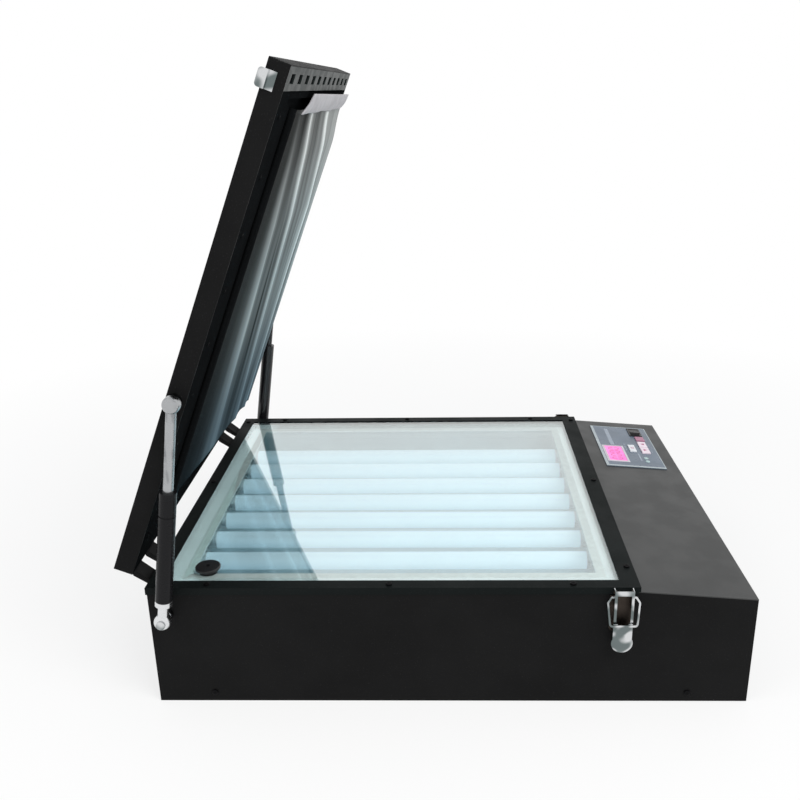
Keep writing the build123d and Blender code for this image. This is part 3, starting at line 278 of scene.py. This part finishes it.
def ledge_enamel():
    """White enamel; at its hinge-end part, by the lamps' tips, it has a painted glow that stands in for
    their light.
    """
    coat = Finish("white_enamel_painted_glow", (0.82, 0.87, 0.86), 0.35, shine=0.5)
    split = coat.nodes.new("ShaderNodeSeparateXYZ")
    coat.links.new(coat.place, split.inputs[0])
    coat.vary(0.09, 0.12).glow((0.66, 0.84, 0.86), 0.0)
    # painted glow: emission rising towards the hinge end, standing in for lamp light on the ledge
    lit = coat.ramp(split.outputs["X"], 0.42, 0.0, -0.350, -0.325)
    coat.links.new(lit, coat.shader.inputs["Emission Strength"])
    return coat.smudge(0.05, 0.05).relief(0.0011, 0.00003).done()


def moulded(name, colour, rough, shine=0.5):
    """Moulded plastic with a fine spark texture."""
    plastic = Finish(name, colour, rough, shine=shine)
    plastic.vary(0.012, 0.08).smudge(0.01, 0.05)
    return plastic.relief(0.0006, 0.00002).done()


def window_glass():
    """Float glass: clear with a green cast, and a mirror at a flat angle."""
    material = bpy.data.materials.new("float_glass")
    material.use_nodes = True
    nodes, links = material.node_tree.nodes, material.node_tree.links
    nodes.clear()
    through = nodes.new("ShaderNodeBsdfTransparent")
    through.inputs["Color"].default_value = (0.93, 0.972, 0.975, 1)
    mirror = nodes.new("ShaderNodeBsdfGlossy")
    mirror.inputs["Color"].default_value = (0.98, 1.0, 0.995, 1)
    place = nodes.new("ShaderNodeTexCoord").outputs["Object"]
    haze = nodes.new("ShaderNodeTexNoise")
    haze.inputs["Scale"].default_value = 9.0
    haze.inputs["Detail"].default_value = 5.0
    spread = nodes.new("ShaderNodeMapRange")
    for key, number in (("From Min", 0.4), ("From Max", 0.75), ("To Min", 0.0), ("To Max", 0.03)):
        spread.inputs[key].default_value = number
    facing = nodes.new("ShaderNodeLayerWeight")
    facing.inputs["Blend"].default_value = 0.5
    steep = nodes.new("ShaderNodeMath")
    steep.operation = "POWER"
    steep.inputs[1].default_value = 2.0
    mirrored = nodes.new("ShaderNodeMath")
    mirrored.operation = "MULTIPLY_ADD"
    mirrored.inputs[1].default_value = 0.85
    mirrored.inputs[2].default_value = 0.06
    mix = nodes.new("ShaderNodeMixShader")
    out = nodes.new("ShaderNodeOutputMaterial")
    links.new(place, haze.inputs["Vector"])
    links.new(haze.outputs["Fac"], spread.inputs["Value"])
    links.new(spread.outputs["Result"], mirror.inputs["Roughness"])
    links.new(facing.outputs["Facing"], steep.inputs[0])
    links.new(steep.outputs[0], mirrored.inputs[0])
    links.new(mirrored.outputs[0], mix.inputs[0])
    links.new(through.outputs[0], mix.inputs[1])
    links.new(mirror.outputs[0], mix.inputs[2])
    links.new(mix.outputs[0], out.inputs[0])
    return material


def tube_glass():
    """Phosphor coating seen through thin glass."""
    glass = Finish("phosphor_tube", (0.74, 0.86, 0.92), 0.22)
    glass.vary(0.06, 0.05)
    glass.smudge(0.03, 0.05).glow((0.52, 0.74, 0.86), 0.38)
    return glass.done()


def rubber_sheet():
    """Thin matt rubber with painted light: painted highlights on its ridges, neutral grey at its free end, a
    painted blue reflection and painted shade near the hinges.
    """
    # blue base colour, tinted to neutral grey towards the free end by height: painted blue reflection of the
    # light box near the hinges
    rubber = Finish("blanket_rubber", (0.60, 0.84, 1.0), 0.7, shine=0.0)
    split = rubber.nodes.new("ShaderNodeSeparateXYZ")
    rubber.links.new(rubber.place, split.inputs[0])
    rubber.tint(rubber.ramp(split.outputs["Z"], 0.0, 1.0, 0.22, 0.50), (0.84, 0.98, 1.0))
    rubber.tint(rubber.ramp(split.outputs["Z"], 0.0, 1.0, 0.50, 0.78), (0.98, 1.0, 0.98))
    # painted highlights and painted shade of the folds, multiplied into the colour
    shade = rubber.nodes.new("ShaderNodeAttribute")
    shade.attribute_name = "painted_fold_light"
    product = rubber.nodes.new("ShaderNodeMix")
    product.data_type = "RGBA"
    product.blend_type = "MULTIPLY"
    product.inputs[0].default_value = 1.0
    colours = [socket for socket in product.inputs if socket.type == "RGBA"]
    rubber.links.new(rubber.base, colours[0])
    rubber.links.new(shade.outputs["Color"], colours[1])
    rubber.base = [socket for socket in product.outputs if socket.type == "RGBA"][0]
    rubber.tint(rubber.ramp(rubber.pattern(0.0018, (1, 1, 1)), 0, 0.05, 0.5, 0.7), (0.30, 0.31, 0.31))
    rubber.smudge(0.05, 0.06).relief(0.0009, 0.00004, kind="cells").relief(0.010, 0.0004, (1, 1, 5))
    return rubber.done()


def two_tone_strut():
    """Gloss black gas cylinder on a bright steel ball socket and neck."""
    paint = Finish("near_strut_cylinder", (0.008, 0.008, 0.009), 0.25, shine=0.14)
    along = paint.nodes.new("ShaderNodeVectorMath")
    along.operation = "DOT_PRODUCT"
    along.inputs[1].default_value = (0.14585, 0.0, 0.98931)
    paint.links.new(paint.place, along.inputs[0])
    start = Vector((-0.375, -0.331, 0.138)).dot(Vector((0.14585, 0.0, 0.98931)))
    bare = paint.ramp(along.outputs["Value"], 1.0, 0.0, start + 0.0315, start + 0.0325)
    paint.tint(bare, (0.74, 0.75, 0.76))
    paint.links.new(bare, paint.shader.inputs["Metallic"])
    paint.smudge(0.01, 0.05)
    return paint.relief(0.0006, 0.000008, (1, 1, 6)).done()


def make_finishes():
    board = Finish("solder_resist", (0.012, 0.12, 0.05), 0.3)
    board.tint(board.ramp(board.pattern(0.006, kind="cells"), 0.5, 0, 0.1, 0.25), (0.05, 0.25, 0.12))
    film = Finish("membrane_film", (0.115, 0.15, 0.20), 0.30, shine=0.5)
    film.vary(0.05, 0.18).smudge(0.03, 0.05).relief(0.0007, 0.00002)
    display = Finish("display_window", (0.55, 0.06, 0.30), 0.15)
    display.tint(display.ramp(display.pattern(0.02), 0, 1), (0.75, 0.16, 0.42))
    display.glow((0.86, 0.20, 0.62), 0.62)
    lit = Finish("display_figures", (0.46, 0.05, 0.22), 0.3)
    lit.vary(0.006, 0.1).glow((0.60, 0.06, 0.28), 0.40)
    foam = Finish("seal_foam", (0.78, 0.82, 0.80), 0.8)
    foam.vary(0.01, 0.1).relief(0.0008, 0.0002, kind="cells")
    pvc = Finish("hose_pvc", (0.55, 0.60, 0.60), 0.25)
    pvc.vary(0.02, 0.15).smudge(0.02, 0.05)
    steel = Finish("zinc_steel", (0.52, 0.53, 0.53), 0.36, metal=1.0)
    steel.vary(0.004, 0.2).smudge(0.006, 0.08).relief(0.003, 0.00002, kind="cells")
    casting = Finish("pump_casting", (0.10, 0.11, 0.13), 0.5)
    casting.vary(0.02, 0.2).relief(0.0015, 0.0001)
    aluminium = Finish("drawn_aluminium", (0.72, 0.73, 0.74), 0.3, metal=1.0)
    aluminium.vary(0.01, 0.08).smudge(0.01, 0.06).relief(0.0005, 0.00001, (6, 1, 1))
    gloss = Finish("gloss_black", (0.010, 0.010, 0.011), 0.2, shine=0.5)
    gloss.vary(0.03, 0.2).smudge(0.02, 0.05).relief(0.004, 0.00001)
    hem = Finish("blanket_hem", (0.40, 0.39, 0.41), 0.5)
    hem.vary(0.02, 0.15).smudge(0.03, 0.05).relief(0.0009, 0.00004, kind="cells")
    band = Finish("end_band_grey", (0.018, 0.024, 0.023), 0.42, shine=0.09)
    band.vary(0.03, 0.15).smudge(0.02, 0.05).relief(0.0011, 0.00003)
    silver = Finish("satin_silver_painted_reflections", (0.40, 0.41, 0.42), 0.26, metal=1.0)
    # dark streaks along the rod tinted into its colour: painted reflections of dark surroundings
    silver.tint(silver.ramp(silver.pattern(0.006, (1, 1, 60), 0.0), 0, 0.6, 0.40, 0.66), (0.12, 0.13, 0.14))
    silver.vary(0.02, 0.05).smudge(0.02, 0.04).relief(0.0004, 0.000001, (1, 1, 10))
    return {
        "body": powder("powder_black_body", (0.0072, 0.0072, 0.0074), 0.55, 0.06),
        "cover": powder("powder_black_cover", (0.030, 0.031, 0.031), 0.42, 0.42),
        "trim": powder("powder_black_trim", (0.006, 0.008, 0.008), 0.5, 0.05),
        "lid_black": powder("powder_black_lid", (0.0065, 0.0072, 0.0078), 0.8, 0.0),
        "pale": ledge_enamel(),
        "tray": powder("reflector_enamel", (0.42, 0.54, 0.57), 0.35, 0.5),
        "screws": plating("black_oxide", (0.012, 0.012, 0.013), 0.6),
        "chrome": chrome_plating(),
        # latch plate colour darkened to a near-black brown: painted shade under the lever
        "shaded_latch_steel": plating("latch_plate_steel_painted_shade", (0.050, 0.040, 0.034), 0.45),
        "holder": moulded("white_moulding", (0.62, 0.66, 0.66), 0.4),
        "black": moulded("black_moulding", (0.012, 0.012, 0.013), 0.38),
        "white_button": moulded("white_button", (0.78, 0.80, 0.84), 0.35),
        "pink_button": moulded("pink_button", (0.86, 0.74, 0.82), 0.35),
        "red_button": moulded("red_button", (0.42, 0.17, 0.27), 0.35),
        "glass": window_glass(),
        "tube": tube_glass(),
        "rubber": rubber_sheet(),
        "board": board.done(),
        "film": film.done(),
        "display": display.done(),
        "foam": foam.done(),
        "hose": pvc.done(),
        "steel": steel.done(),
        "casting": casting.done(),
        "aluminium": aluminium.done(),
        "gloss": gloss.done(),
        "silver": silver.done(),
        "near_strut": two_tone_strut(),
        "hem": hem.done(),
        "band": band.done(),
        "pale_film": moulded("pale_film", (0.40, 0.46, 0.49), 0.3),
        "bezel": moulded("display_bezel", (0.62, 0.58, 0.64), 0.3),
        "figures": moulded("button_marks", (0.42, 0.02, 0.15), 0.4),
        "lit": lit.done(),
        "print": moulded("panel_print", (0.30, 0.35, 0.42), 0.35),
        "lens": moulded("indicator_lens", (0.42, 0.55, 0.55), 0.12),
        # near-black crosses: painted shade standing for the screws' cross recesses
        "recess": moulded("screw_recess_painted_shade", (0.002, 0.002, 0.002), 0.7, 0.1),
    }


def dress_nodes(finish):
    """Give each CAD node its finish."""
    wanted = {
        "body": ("cabinet_shell", "bottom_tray", "partition_wall", "lid_shell", "hinge_brackets"),
        "cover": ("control_cover",),
        "trim": ("glass_trim", "glass_spacer"),
        "lid_black": ("lid_inner_frame", "clamp_strips", "clamp_screws"),
        "pale": ("glass_ledge",),
        "tray": ("reflector_tray",),
        "foam": ("glass_seal_tape",),
        "glass": ("exposure_glass",),
        "tube": tuple(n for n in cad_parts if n.startswith("lamp_tube_")),
        "aluminium": ("lamp_caps",),
        "holder": ("lampholders",),
        "steel": ("ballasts", "hinge_pins", "lid_hinge_leaves"),
        "shaded_latch_steel": ("latch_plates",),
        "band": ("lid_end_band",),
        "screws": ("cabinet_screws",),
        "black": ("vacuum_port", "hose_clips", "power_switch_frame", "power_rocker", "fan_housing",
                  "fan_rotor", "power_inlet"),
        "hose": ("vacuum_hose",),
        "casting": ("vacuum_pump",),
        "film": ("control_panel",),
        "display": ("panel_display",),
        "white_button": ("button_start",),
        "pink_button": ("button_up", "button_down"),
        "red_button": ("button_vacuum",),
        "board": ("controller_board",),
        "chrome": ("fan_guard", "catch_plates", "latch_lever_near", "latch_lever_far", "latch_bail_near",
                   "latch_bail_far", "strut_base_studs", "lid_strut_studs"),
        "silver": ("strut_rod_near",),
        "near_strut": ("strut_cylinder_near",),
        "gloss": ("strut_cylinder_far", "strut_rod_far"),
        "rubber": ("vacuum_blanket",),
    }
    for key, names in wanted.items():
        for name in names:
            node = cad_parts[name]
            node = node if hasattr(node, "data") else bpy.data.objects[name]
            for place in node.material_slots:
                place.material = finish[key]
            if not node.material_slots:
                node.data.materials.append(finish[key])


# ---- small building helpers -------------------------------------------------
def piece(name, form, finish, body, smooth=False):
    """Turn a bmesh into a piece that rides on a body."""
    bmesh.ops.recalc_face_normals(form, faces=form.faces)
    mesh = bpy.data.meshes.new(name)
    form.to_mesh(mesh)
    form.free()
    mesh.materials.append(finish)
    for face in mesh.polygons:
        face.use_smooth = smooth
    thing = bpy.data.objects.new(name, mesh)
    bpy.context.scene.collection.objects.link(thing)
    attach(thing, body)
    return thing


# ---- vacuum blanket ---------------------------------------------------------
LID_OPEN = Matrix.Translation((-0.427, 0, 0.1935)) @ Matrix.Rotation(math.radians(-68.1), 4, "Y") \
    @ Matrix.Translation((0.427, 0, -0.1935))
LID_UNDER = 0.1824
BACKING = 0.1901
BLANKET_NEAR = -0.183
BLANKET_WIDTH = 0.445
BLANKET_TURN = 18.0
BLANKET_EASE = 26.0
SHEET_THICKNESS = 0.0011
EDGE_THICKNESS = 0.0016
BLANKET_X = (-0.363, 0.031, 0.1955)
BLANKET_RISE = (17.0, 12.0, 12.0)
BLANKET_RELIEF = (0.4, 1.0, 1.0)
BLANKET_CREASES = (
    (2.6, 190.0, 90.0, 21.0),
    (-1.8, 270.0, 182.0, 97.0),
    (3.0, 330.0, 213.0, 119.0),
    (-3.0, 365.0, 333.0, 226.0),
    (3.5, 392.0, 363.0, 269.0),
    (-3.0, 412.0, 405.0, 367.0),
)


def between(values, x):
    """Value along the lid, joined smoothly at the middle station."""
    a, b, c = BLANKET_X
    if x < b:
        t = (x - a) / (b - a)
        low, high = values[0], values[1]
    else:
        t = (x - b) / (c - b)
        low, high = values[1], values[2]
    return low + (high - low) * t


def smooth(value, low, high):
    t = max(0.0, min(1.0, (value - low) / (high - low)))
    return t * t * (3 - 2 * t)


def fold_at(x, d):
    """Height in mm of the long folds at a point of the sheet, and the point's place in their sequence."""
    marks = [(0.0, 0.0)]
    marks += [(between(row[1:], x), row[0]) for row in BLANKET_CREASES]
    marks.append((BLANKET_WIDTH * 1000 - BLANKET_TURN, 0.0))
    for number, ((d0, r0), (d1, r1)) in enumerate(zip(marks, marks[1:])):
        if d <= d1:
            t = (d - d0) / (d1 - d0)
            share = t ** 1.7 if r1 > r0 else 1 - (1 - t) ** 1.7
            return r0 + (r1 - r0) * share, number + t
    return 0.0, float(len(marks))


def blanket_height(x, d):
    """Height in metres of the slack sheet off the lid's under edge, d mm from its near edge."""
    width = BLANKET_WIDTH * 1000
    fold, place = fold_at(x, d)
    relief = between(BLANKET_RELIEF, x) * (1 - 0.4 * smooth(x, 0.12, 0.19))
    rise = between(BLANKET_RISE, x) - 6.0 * smooth(x, 0.13, 0.19)
    slope = rise * min(d, width - BLANKET_TURN) / (width - BLANKET_TURN)
    streak = noise.noise(Vector((x * 4.0, place * 2.4, 4.0))) * 1.5
    streak += noise.noise(Vector((x * 7.0, place * 6.0, 1.5))) * 0.7
    height = 2.0 + slope + fold * relief + streak * (0.3 + 0.7 * relief)
    if d < BLANKET_EASE:
        height = 2.0 + (height - 2.0) * math.sin(math.pi / 2 * d / BLANKET_EASE)
    if d > width - BLANKET_TURN:
        t = (d - width + BLANKET_TURN) / BLANKET_TURN
        height = 2.0 + (height - 2.0) * math.cos(math.pi / 2 * t)
    return max(height, 0.6) / 1000


def blanket_painted_light(x, d):
    """Painted light and shade for the sheet's colour: pale painted highlights on the ridges and at the free
    end, dark painted shade in the troughs, along the near edge and at the hinge end.
    """
    fold, place = fold_at(x, d)
    across = d / (BLANKET_WIDTH * 1000)
    free_end_light = smooth(x, -0.05, 0.12)
    hinge_end_shade = 1 - smooth(x, -0.34, -0.02)
    ridge_highlight = max(0.0, fold / 3.0) ** 1.8
    trough_shade = max(0.0, -fold / 3.0)
    streak = noise.noise(Vector((x * 3.0, place * 3.0, 7.0)))
    streak += 0.6 * noise.noise(Vector((x * 4.0, place * 9.0, 2.0)))
    # painted shade along the near edge, lightening across the sheet, more so at the free end
    shade = 0.04 + (0.16 + 0.06 * free_end_light) * smooth(across, 0.03, 0.45)
    shade += 0.24 * smooth(across, 0.35, 1.0)
    # painted highlights on the ridges, painted shade in the troughs
    shade += (0.46 + 0.20 * free_end_light) * ridge_highlight * smooth(across, 0.0, 0.3) - 0.13 * trough_shade
    shade += 0.14 * streak * smooth(across, 0.05, 0.4)
    # painted shade towards the hinge end
    return max(0.02, min(0.90, shade * (1 - 0.55 * hinge_end_shade)))


def grid_piece(name, points, finish):
    """Smooth sheet through rows of points given in the closed lid's frame, laid open with the lid."""
    form = bmesh.new()
    grid = [[form.verts.new(p) for p in line] for line in points]
    for a, b in zip(grid, grid[1:]):
        for j in range(len(a) - 1):
            form.faces.new((a[j], b[j], b[j + 1], a[j + 1]))
    form.transform(LID_OPEN)
    return piece(name, form, finish, "lid", smooth=True)


def thicken(thing, thickness):
    """Give an open surface its thickness, as mesh."""
    thick = thing.modifiers.new("thickness", "SOLIDIFY")
    thick.thickness = thickness
    thick.offset = 0.0
    shape = thing.evaluated_get(bpy.context.evaluated_depsgraph_get())
    mesh = bpy.data.meshes.new_from_object(shape)
    thing.modifiers.clear()
    thing.data = mesh
    for face in mesh.polygons:
        face.use_smooth = True
    return thing


def add_sheet(finish):
    """Slack rubber sheet over the lid's backing, with the long folds that the photograph shows."""
    rows, columns = 120, 220
    points, painted_shades = [], []
    for i in range(rows + 1):
        x = BLANKET_X[0] + (BLANKET_X[2] - BLANKET_X[0]) * i / rows
        line = []
        for j in range(columns + 1):
            d = BLANKET_WIDTH * 1000 * j / columns
            line.append((x, BLANKET_NEAR + d / 1000, LID_UNDER - blanket_height(x, d)))
            painted_shades.append(blanket_painted_light(x, d))
        points.append(line)
    sheet = grid_piece("blanket_sheet", points, finish["rubber"])
    # vertex attribute carrying the painted light and shade of the folds
    layer = sheet.data.attributes.new("painted_fold_light", "FLOAT", "POINT")
    layer.data.foreach_set("value", painted_shades)
    return thicken(sheet, SHEET_THICKNESS)


def add_seal(finish):
    """Black bead that closes the sheet to the backing along its near, far and hinge-end sides."""
    first, last = BLANKET_X[0], BLANKET_X[2]
    far_edge = BLANKET_NEAR + BLANKET_WIDTH
    corners = ((last, BLANKET_NEAR), (first, BLANKET_NEAR), (first, far_edge), (last, far_edge))
    path = []
    for (x0, y0), (x1, y1) in zip(corners, corners[1:]):
        path += [(x0 + (x1 - x0) * i / 40, y0 + (y1 - y0) * i / 40) for i in range(40)]
    path.append(corners[-1])
    points = []
    for x, y in path:
        drop = blanket_height(x, (y - BLANKET_NEAR) * 1000) - 0.0002
        height = LID_UNDER - drop - BACKING + 0.0006
        points.append([(x, y, BACKING - 0.0006 + height * k / 3) for k in range(4)])
    return thicken(grid_piece("blanket_edge_seal", points, finish["lid_black"]), EDGE_THICKNESS)


def add_hem(finish):
    """Pale strip welded to the sheet's free end, cut off aslant at both corners."""
    columns, rows = 60, 10
    points = []
    for j in range(columns + 1):
        u = j / columns
        line = []
        for i in range(rows + 1):
            t = i / rows
            x = 0.190 + 0.026 * t
            d = 28 + 62 * t + (388 - 38 * t) * u
            lift = (1 - t) * (blanket_height(0.190, d) * 1000 + 1.0) + t * (4.5 + 9.0 * u)
            lift += 1.5 * math.sin(math.pi * t) + 0.5 * noise.noise(Vector((t * 2.0, d / 26.0, 9.0)))
            line.append((x, BLANKET_NEAR + d / 1000, LID_UNDER - lift / 1000))
        points.append(line)
    return thicken(grid_piece("blanket_hem", points, finish["hem"]), EDGE_THICKNESS)


def add_blanket(finish):
    """Sheet, edge bead and hem in place of the lid's plain blanket."""
    sheet, seal, hem = add_sheet(finish), add_seal(finish), add_hem(finish)
    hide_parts("vacuum_blanket")
    for thing, plane in ((sheet, BACKING), (seal, BACKING), (hem, LID_UNDER - 0.001)):
        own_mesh(thing)


# ---- control panel ------------------------------------------------------------
SLOPE = math.radians(4.4846)
COVER = Matrix(((math.cos(SLOPE), 0, math.sin(SLOPE), 0.247), (0, 1, 0, 0),
                (-math.sin(SLOPE), 0, math.cos(SLOPE), 0.1703), (0, 0, 0, 1)))
PANEL = (0.027, 0.131, 0.096, 0.286)
FILM_TOP = 0.0012


def plate(form, u0, u1, v0, v1, w0, w1):
    """Flat bar on the cover, between the given panel coordinates."""
    made = bmesh.ops.create_cube(form, size=1.0)
    scale = Matrix.Diagonal((u1 - u0, v1 - v0, w1 - w0, 1))
    middle = Matrix.Translation(((u0 + u1) / 2, (v0 + v1) / 2, (w0 + w1) / 2))
    bmesh.ops.transform(form, matrix=middle @ scale, verts=made["verts"])
    return made["verts"]


def border(form, u0, u1, v0, v1, widths, w0, w1, inner_w1):
    """Frame round a rectangle, its top sloping inwards. widths are those of its u0, u1, v0 and v1 sides."""
    loops = []
    for share, w in ((0, w0), (0, w1), (1, inner_w1), (1, w0)):
        a, b, c, d = (share * width for width in widths)
        corners = ((u0 + a, v0 + c), (u1 - b, v0 + c), (u1 - b, v1 - d), (u0 + a, v1 - d))
        loops.append([form.verts.new((u, v, w)) for u, v in corners])
    for a, b in zip(loops, loops[1:] + loops[:1]):
        for i in range(4):
            j = (i + 1) % 4
            form.faces.new((a[i], a[j], b[j], b[i]))


def digit(form, u, v, lit, size):
    """Seven-segment figure that reads with +u as down and +v as its right."""
    width, height, bar = size * 0.5, size, size * 0.11
    rows = (-height / 2, 0.0, height / 2)
    for name, row in (("a", 0), ("g", 1), ("d", 2)):
        if name in lit:
            plate(form, u + rows[row] - bar / 2, u + rows[row] + bar / 2, v - width / 2 + bar * 0.7,
                  v + width / 2 - bar * 0.7, FILM_TOP, FILM_TOP + 0.00012)
    for name, side, half in (("f", -1, 0), ("b", 1, 0), ("e", -1, 1), ("c", 1, 1)):
        if name in lit:
            middle = v + side * width / 2
            plate(form, u + rows[half] + bar * 0.7, u + rows[half + 1] - bar * 0.7, middle - bar / 2,
                  middle + bar / 2, FILM_TOP, FILM_TOP + 0.00012)


def arrow(form, u, v, w, size, toward):
    """Raised triangle on a button."""
    tip = form.verts.new((u + toward * size / 2, v, w))
    left = form.verts.new((u - toward * size / 2, v - size * 0.6, w))
    right = form.verts.new((u - toward * size / 2, v + size * 0.6, w))
    face = form.faces.new((tip, left, right))
    grown = bmesh.ops.extrude_face_region(form, geom=[face])
    verts = [g for g in grown["geom"] if isinstance(g, bmesh.types.BMVert)]
    bmesh.ops.translate(form, vec=(0, 0, 0.00015), verts=verts)


def add_panel(finish):
    u0, u1, v0, v1 = PANEL
    form = bmesh.new()
    widths = (0.0050, 0.0015, 0.0055, 0.0015)
    border(form, u0, u1, v0, v1, widths, FILM_TOP - 0.0001, FILM_TOP + 0.0004, FILM_TOP + 0.0002)
    form.transform(COVER)
    piece("panel_border", form, finish["pale_film"], "cabinet")

    du, dv = u0 + 0.0255, v0 + 0.057
    form = bmesh.new()
    border(form, du - 0.0195, du + 0.0195, dv - 0.037, dv + 0.037, (0.004,) * 4, FILM_TOP - 0.0001,
           FILM_TOP + 0.0003, FILM_TOP + 0.0009)
    form.transform(COVER)
    piece("display_bezel", form, finish["bezel"], "cabinet")

    form = bmesh.new()
    for i in range(4):
        digit(form, du, dv - 0.0215 + 0.0142 * i + (0.0015 if i > 1 else 0), "abcdef", 0.017)
    for offset in (-0.004, 0.004):
        plate(form, du + offset - 0.0008, du + offset + 0.0008, dv - 0.0008, dv + 0.0008, FILM_TOP,
              FILM_TOP + 0.00012)
    form.transform(COVER)
    piece("display_figures", form, finish["lit"], "cabinet")

    form = bmesh.new()
    plate(form, u0 + 0.024, u0 + 0.031, v0 + 0.098, v0 + 0.178, FILM_TOP, FILM_TOP + 0.0001)
    plate(form, u0 + 0.066, u0 + 0.0685, v0 + 0.030, v0 + 0.062, FILM_TOP, FILM_TOP + 0.0001)
    for v in (0.083, 0.095, 0.107):
        plate(form, u0 + 0.0485, u0 + 0.0500, v0 + v - 0.008, v0 + v - 0.001, FILM_TOP, FILM_TOP + 0.0001)
    for v in (0.073, 0.078, 0.102, 0.107, 0.129, 0.134):
        plate(form, u0 + 0.0945, u0 + 0.0958, v0 + v - 0.0015, v0 + v + 0.0015, FILM_TOP, FILM_TOP + 0.0001)
    form.transform(COVER)
    piece("panel_print", form, finish["print"], "cabinet")

    form = bmesh.new()
    for u, v in ((0.077, 0.042), (0.077, 0.028)):
        made = bmesh.ops.create_uvsphere(form, u_segments=24, v_segments=12, radius=0.0042)
        place = Matrix.Translation((u0 + u, v0 + v, FILM_TOP)) @ Matrix.Diagonal((1, 1, 0.42, 1))
        bmesh.ops.transform(form, matrix=place, verts=made["verts"])
    form.transform(COVER)
    piece("indicator_lenses", form, finish["lens"], "cabinet", smooth=True)

    top = FILM_TOP + 0.0024
    marks = (("up_mark", "up_button", 0.1035, -1), ("down_mark", "down_button", 0.076, 1))
    for name, body, v, toward in marks:
        form = bmesh.new()
        arrow(form, u0 + 0.0825, v0 + v, top, 0.006, toward)
        form.transform(COVER)
        piece(name, form, finish["figures"], body)
    form = bmesh.new()
    border(form, u0 + 0.0575, u0 + 0.0625, v0 + 0.080, v0 + 0.086, (0.0009,) * 4, top - 0.00005,
           top + 0.00015, top + 0.00015)
    form.transform(COVER)
    piece("start_mark", form, finish["figures"], "start_button")


# ---- screw recesses, drawn as painted shade -------------------------------------
SCREW_JOIN = 0.0004


def islands(mesh):
    """Groups of joined vertices of a mesh, as lists of coordinates."""
    links = [[] for _ in mesh.vertices]
    for edge in mesh.edges:
        a, b = edge.vertices
        links[a].append(b)
        links[b].append(a)
    seen, groups = set(), []
    for start in range(len(links)):
        if start in seen:
            continue
        stack, group = [start], []
        seen.add(start)
        while stack:
            at = stack.pop()
            group.append(mesh.vertices[at].co.copy())
            for other in links[at]:
                if other not in seen:
                    seen.add(other)
                    stack.append(other)
        groups.append(group)
    return groups


def span(points):
    """Lowest and highest corner of some points."""
    low = Vector([min(p[i] for p in points) for i in range(3)])
    return low, Vector([max(p[i] for p in points) for i in range(3)])


def add_recess_shades(node, body, finish, turn=Matrix.Identity(4)):
    """Black cross of painted shade on the head of every screw of a node, where its cross recess is. turn
    takes the screws' own frame to the row's.
    """
    back = turn.inverted()
    merged = []
    for group in islands(bpy.data.objects[node].data):
        points = [back @ p for p in group]
        low, high = span(points)
        joined = [m for m in merged
                  if all(low[i] < m[1][i] + SCREW_JOIN and high[i] > m[0][i] - SCREW_JOIN for i in range(3))]
        for other in joined:
            points += other[2]
            merged.remove(other)
        merged.append((*span(points), points))
    form = bmesh.new()
    for low, high, points in merged:
        size = high - low
        middle = (low + high) / 2
        axis = min(range(3), key=lambda i: abs(size[(i + 1) % 3] - size[(i + 2) % 3]))
        spans = []
        for end in (low[axis], high[axis]):
            near_end = [p for p in points if abs(p[axis] - end) <= size[axis] * 0.3]
            spans.append(max(abs(p[(axis + 1) % 3] - middle[(axis + 1) % 3]) for p in near_end))
        sign = 1 if spans[1] >= spans[0] else -1
        end = high[axis] if sign > 0 else low[axis]
        reach = max(spans) * 0.55
        for long_axis in ((axis + 1) % 3, (axis + 2) % 3):
            extent = [0.0, 0.0, 0.0]
            extent[axis] = 0.0003
            extent[long_axis] = 2 * reach
            extent[3 - axis - long_axis] = reach * 0.36
            centre = middle.copy()
            centre[axis] = end
            made = bmesh.ops.create_cube(form, size=1.0)
            place = Matrix.Translation(centre) @ Matrix.Diagonal((*extent, 1))
            bmesh.ops.transform(form, matrix=place, verts=made["verts"])
    form.transform(turn)
    piece(node + "_recesses", form, finish["recess"], body)


# ---- build ------------------------------------------------------------------
bpy.context.scene.view_settings.view_transform = "Standard"
add_camera()
add_world()
add_lamp("key", (1.3, -1.6, 2.2), (0, 0, 0.2), 1.6, 42)
add_lamp("fill", (-1.8, -1.2, 1.6), (-0.1, 0, 0.2), 1.6, 14)
add_floor()
finishes = make_finishes()
dress_nodes(finishes)
add_blanket(finishes)
add_panel(finishes)
add_recess_shades("cabinet_screws", "cabinet", finishes)
add_recess_shades("clamp_screws", "lid", finishes, LID_OPEN)
